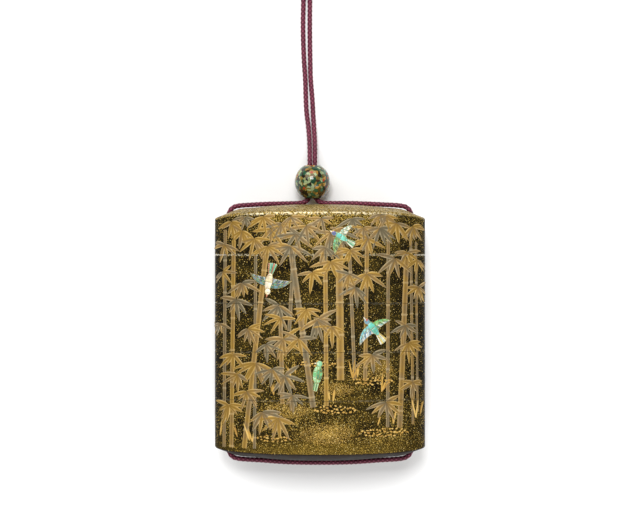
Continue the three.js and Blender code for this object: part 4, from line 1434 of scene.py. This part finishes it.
def inlay(name, cells, at, turn, size, flip):
    """A bird's enamel plates with gold wire round each, as a flat drawing."""
    spin = Matrix.Rotation(math.radians(turn), 2)
    points, faces, tints, posts, lines = [], [], [], [], []

    def laid(x, y, height):
        placed = spin @ Vector(((-x if flip else x) * size, y * size))
        return around(placed.x + at[0]), placed.y + at[1], height

    for outline, height, tint in cells:
        flat = shrunk(outline, PLATE_GAP)
        middle, count, first = flat.mean(axis=0), len(flat), len(points)
        for scale, lift, shade in PLATE_RINGS:
            level = BURIED if lift is None else height * lift
            points += [laid(*(middle + (spot - middle) * scale), level) for spot in flat]
            # Painted shade: each ring's colour is darkened by its share, most at the plate's rim.
            tints += [[c * shade for c in colour(tint)[:3]] + [1.0]] * count
        points.append(laid(*middle, height * 1.01))
        tints.append(colour(tint))
        for i in range(count):
            after = (i + 1) % count
            for k in range(len(PLATE_RINGS) - 1):
                low = first + k * count
                faces.append((low + i, low + after, low + count + after, low + count + i))
            faces.append((low + count + i, low + count + after, len(points) - 1))
        faces.append(tuple(first + i for i in reversed(range(count))))
        lines += [(len(posts) + i, len(posts) + (i + 1) % count) for i in range(count)]
        posts += [laid(*spot, height * 0.82) for spot in outline]
    plates = outwards(mesh_of(name, points, faces, [ENAMEL]))
    plates.attributes.new("tint", "FLOAT_COLOR", "POINT").data.foreach_set("color", np.ravel(tints))
    rims = mesh_of(name, posts, [], edges=lines)
    wires = grown(name, rims, WIRES, Radius=WIRE_RADIUS * MM, Material=WIRE)
    return joined(name, [plates, wires])


def birds():
    for node, (form, at, turn, size, flip, look) in BIRDS.items():
        behind = "_back_" in node
        flat = inlay(node, form(look), at, turn, size, flip)
        mesh = wrapped(node, flat, behind)
        finished(f"{node}_inlay", smoothed(mesh, 40), "enamel", node)


# ---------------------------------------------------------------- the bead and the knot

BEAD = Vector((-2.6, 50.3, 6.0))
BEAD_RADIUS = 5.95
BEAD_HALF_LENGTH = 6.3
BEAD_BORE = 1.95
BEAD_MOUTH = (2.9, 5.5)
BEAD_LIP = 1.5
BEAD_SIDES = 120
KNOT = Vector((-4.55, 117.5, 2.45))
COIL = (2.42, 1.55)             # half width and half height of the coil's middle line
COIL_TURNS = 3
COIL_STEPS = 24                 # in one turn
TUCK_STEPS = 5                  # at each end, where the coil goes in under itself
COIL_HALF_LENGTH = 2.4


def ojime():
    """The bead, turned round the cord's way through it."""
    mouth = math.asin(BEAD_MOUTH[1] / BEAD_HALF_LENGTH)
    outline = [(BEAD_RADIUS * math.cos(a), BEAD_HALF_LENGTH * math.sin(a))
               for a in np.linspace(-mouth, mouth, 61)]
    lip = [(BEAD_BORE + (BEAD_MOUTH[0] - BEAD_BORE) * (1 - math.cos(a)),
            BEAD_MOUTH[1] - BEAD_LIP * (1 - math.sin(a))) for a in np.linspace(math.pi / 2, 0, 7)[1:]]
    outline += lip + [(BEAD_BORE, y) for y in (2.0, 0.0, -2.0)] + [(r, -y) for r, y in lip[::-1]]
    angle = 2 * math.pi * np.arange(BEAD_SIDES) / BEAD_SIDES
    points = [BEAD + Vector((r * math.cos(a), y, r * math.sin(a))) for r, y in outline for a in angle]
    rows = np.arange(len(points)).reshape(len(outline), BEAD_SIDES)
    over, along = np.roll(rows, -1, axis=0), np.roll(rows, -1, axis=1)
    faces = np.stack([rows, over, np.roll(over, -1, axis=1), along], -1).reshape(-1, 4).tolist()
    mesh = smoothed(outwards(mesh_of("bead", points, faces, [MOSAIC])), 40)
    return finished("mosaic_bead", mesh, "mosaic", "ojime_bead")


def end_knot():
    """Both ends of the cord, held by three tight turns, with two short tails."""
    parts = []
    for start, inner, tail in ((-5.65, -0.8, -5.5), (-3.45, 0.8, -3.6)):
        core = KNOT.x + inner
        route = [(start, 113.6, 0.85), (core, 115.4, 2.1), (core, KNOT.y, KNOT.z), (core, 119.6, 2.1),
                 (tail, 121.6, 0.95), (tail, 123.5, 0.85), (tail, 125.5, 0.85)]
        parts.append(braided("strand", route)[0])
    coil = []
    steps = COIL_TURNS * COIL_STEPS
    for step in range(-TUCK_STEPS, steps + TUCK_STEPS + 1):
        turn, share = 2 * math.pi * step / COIL_STEPS, step / steps
        tucked = 1 - 0.55 * min(1, max(0, -share, share - 1) * steps / TUCK_STEPS)
        coil.append((KNOT.x + COIL[0] * tucked * math.cos(turn),
                     KNOT.y + COIL_HALF_LENGTH * (2 * share - 1),
                     KNOT.z + COIL[1] * tucked * math.sin(turn)))
    parts.append(braided("coil", coil)[0])
    return finished("silk_knot", joined("knot", parts), "silk", "cord_knot")


sections()
bamboo()
birds()
ojime()
end_knot()
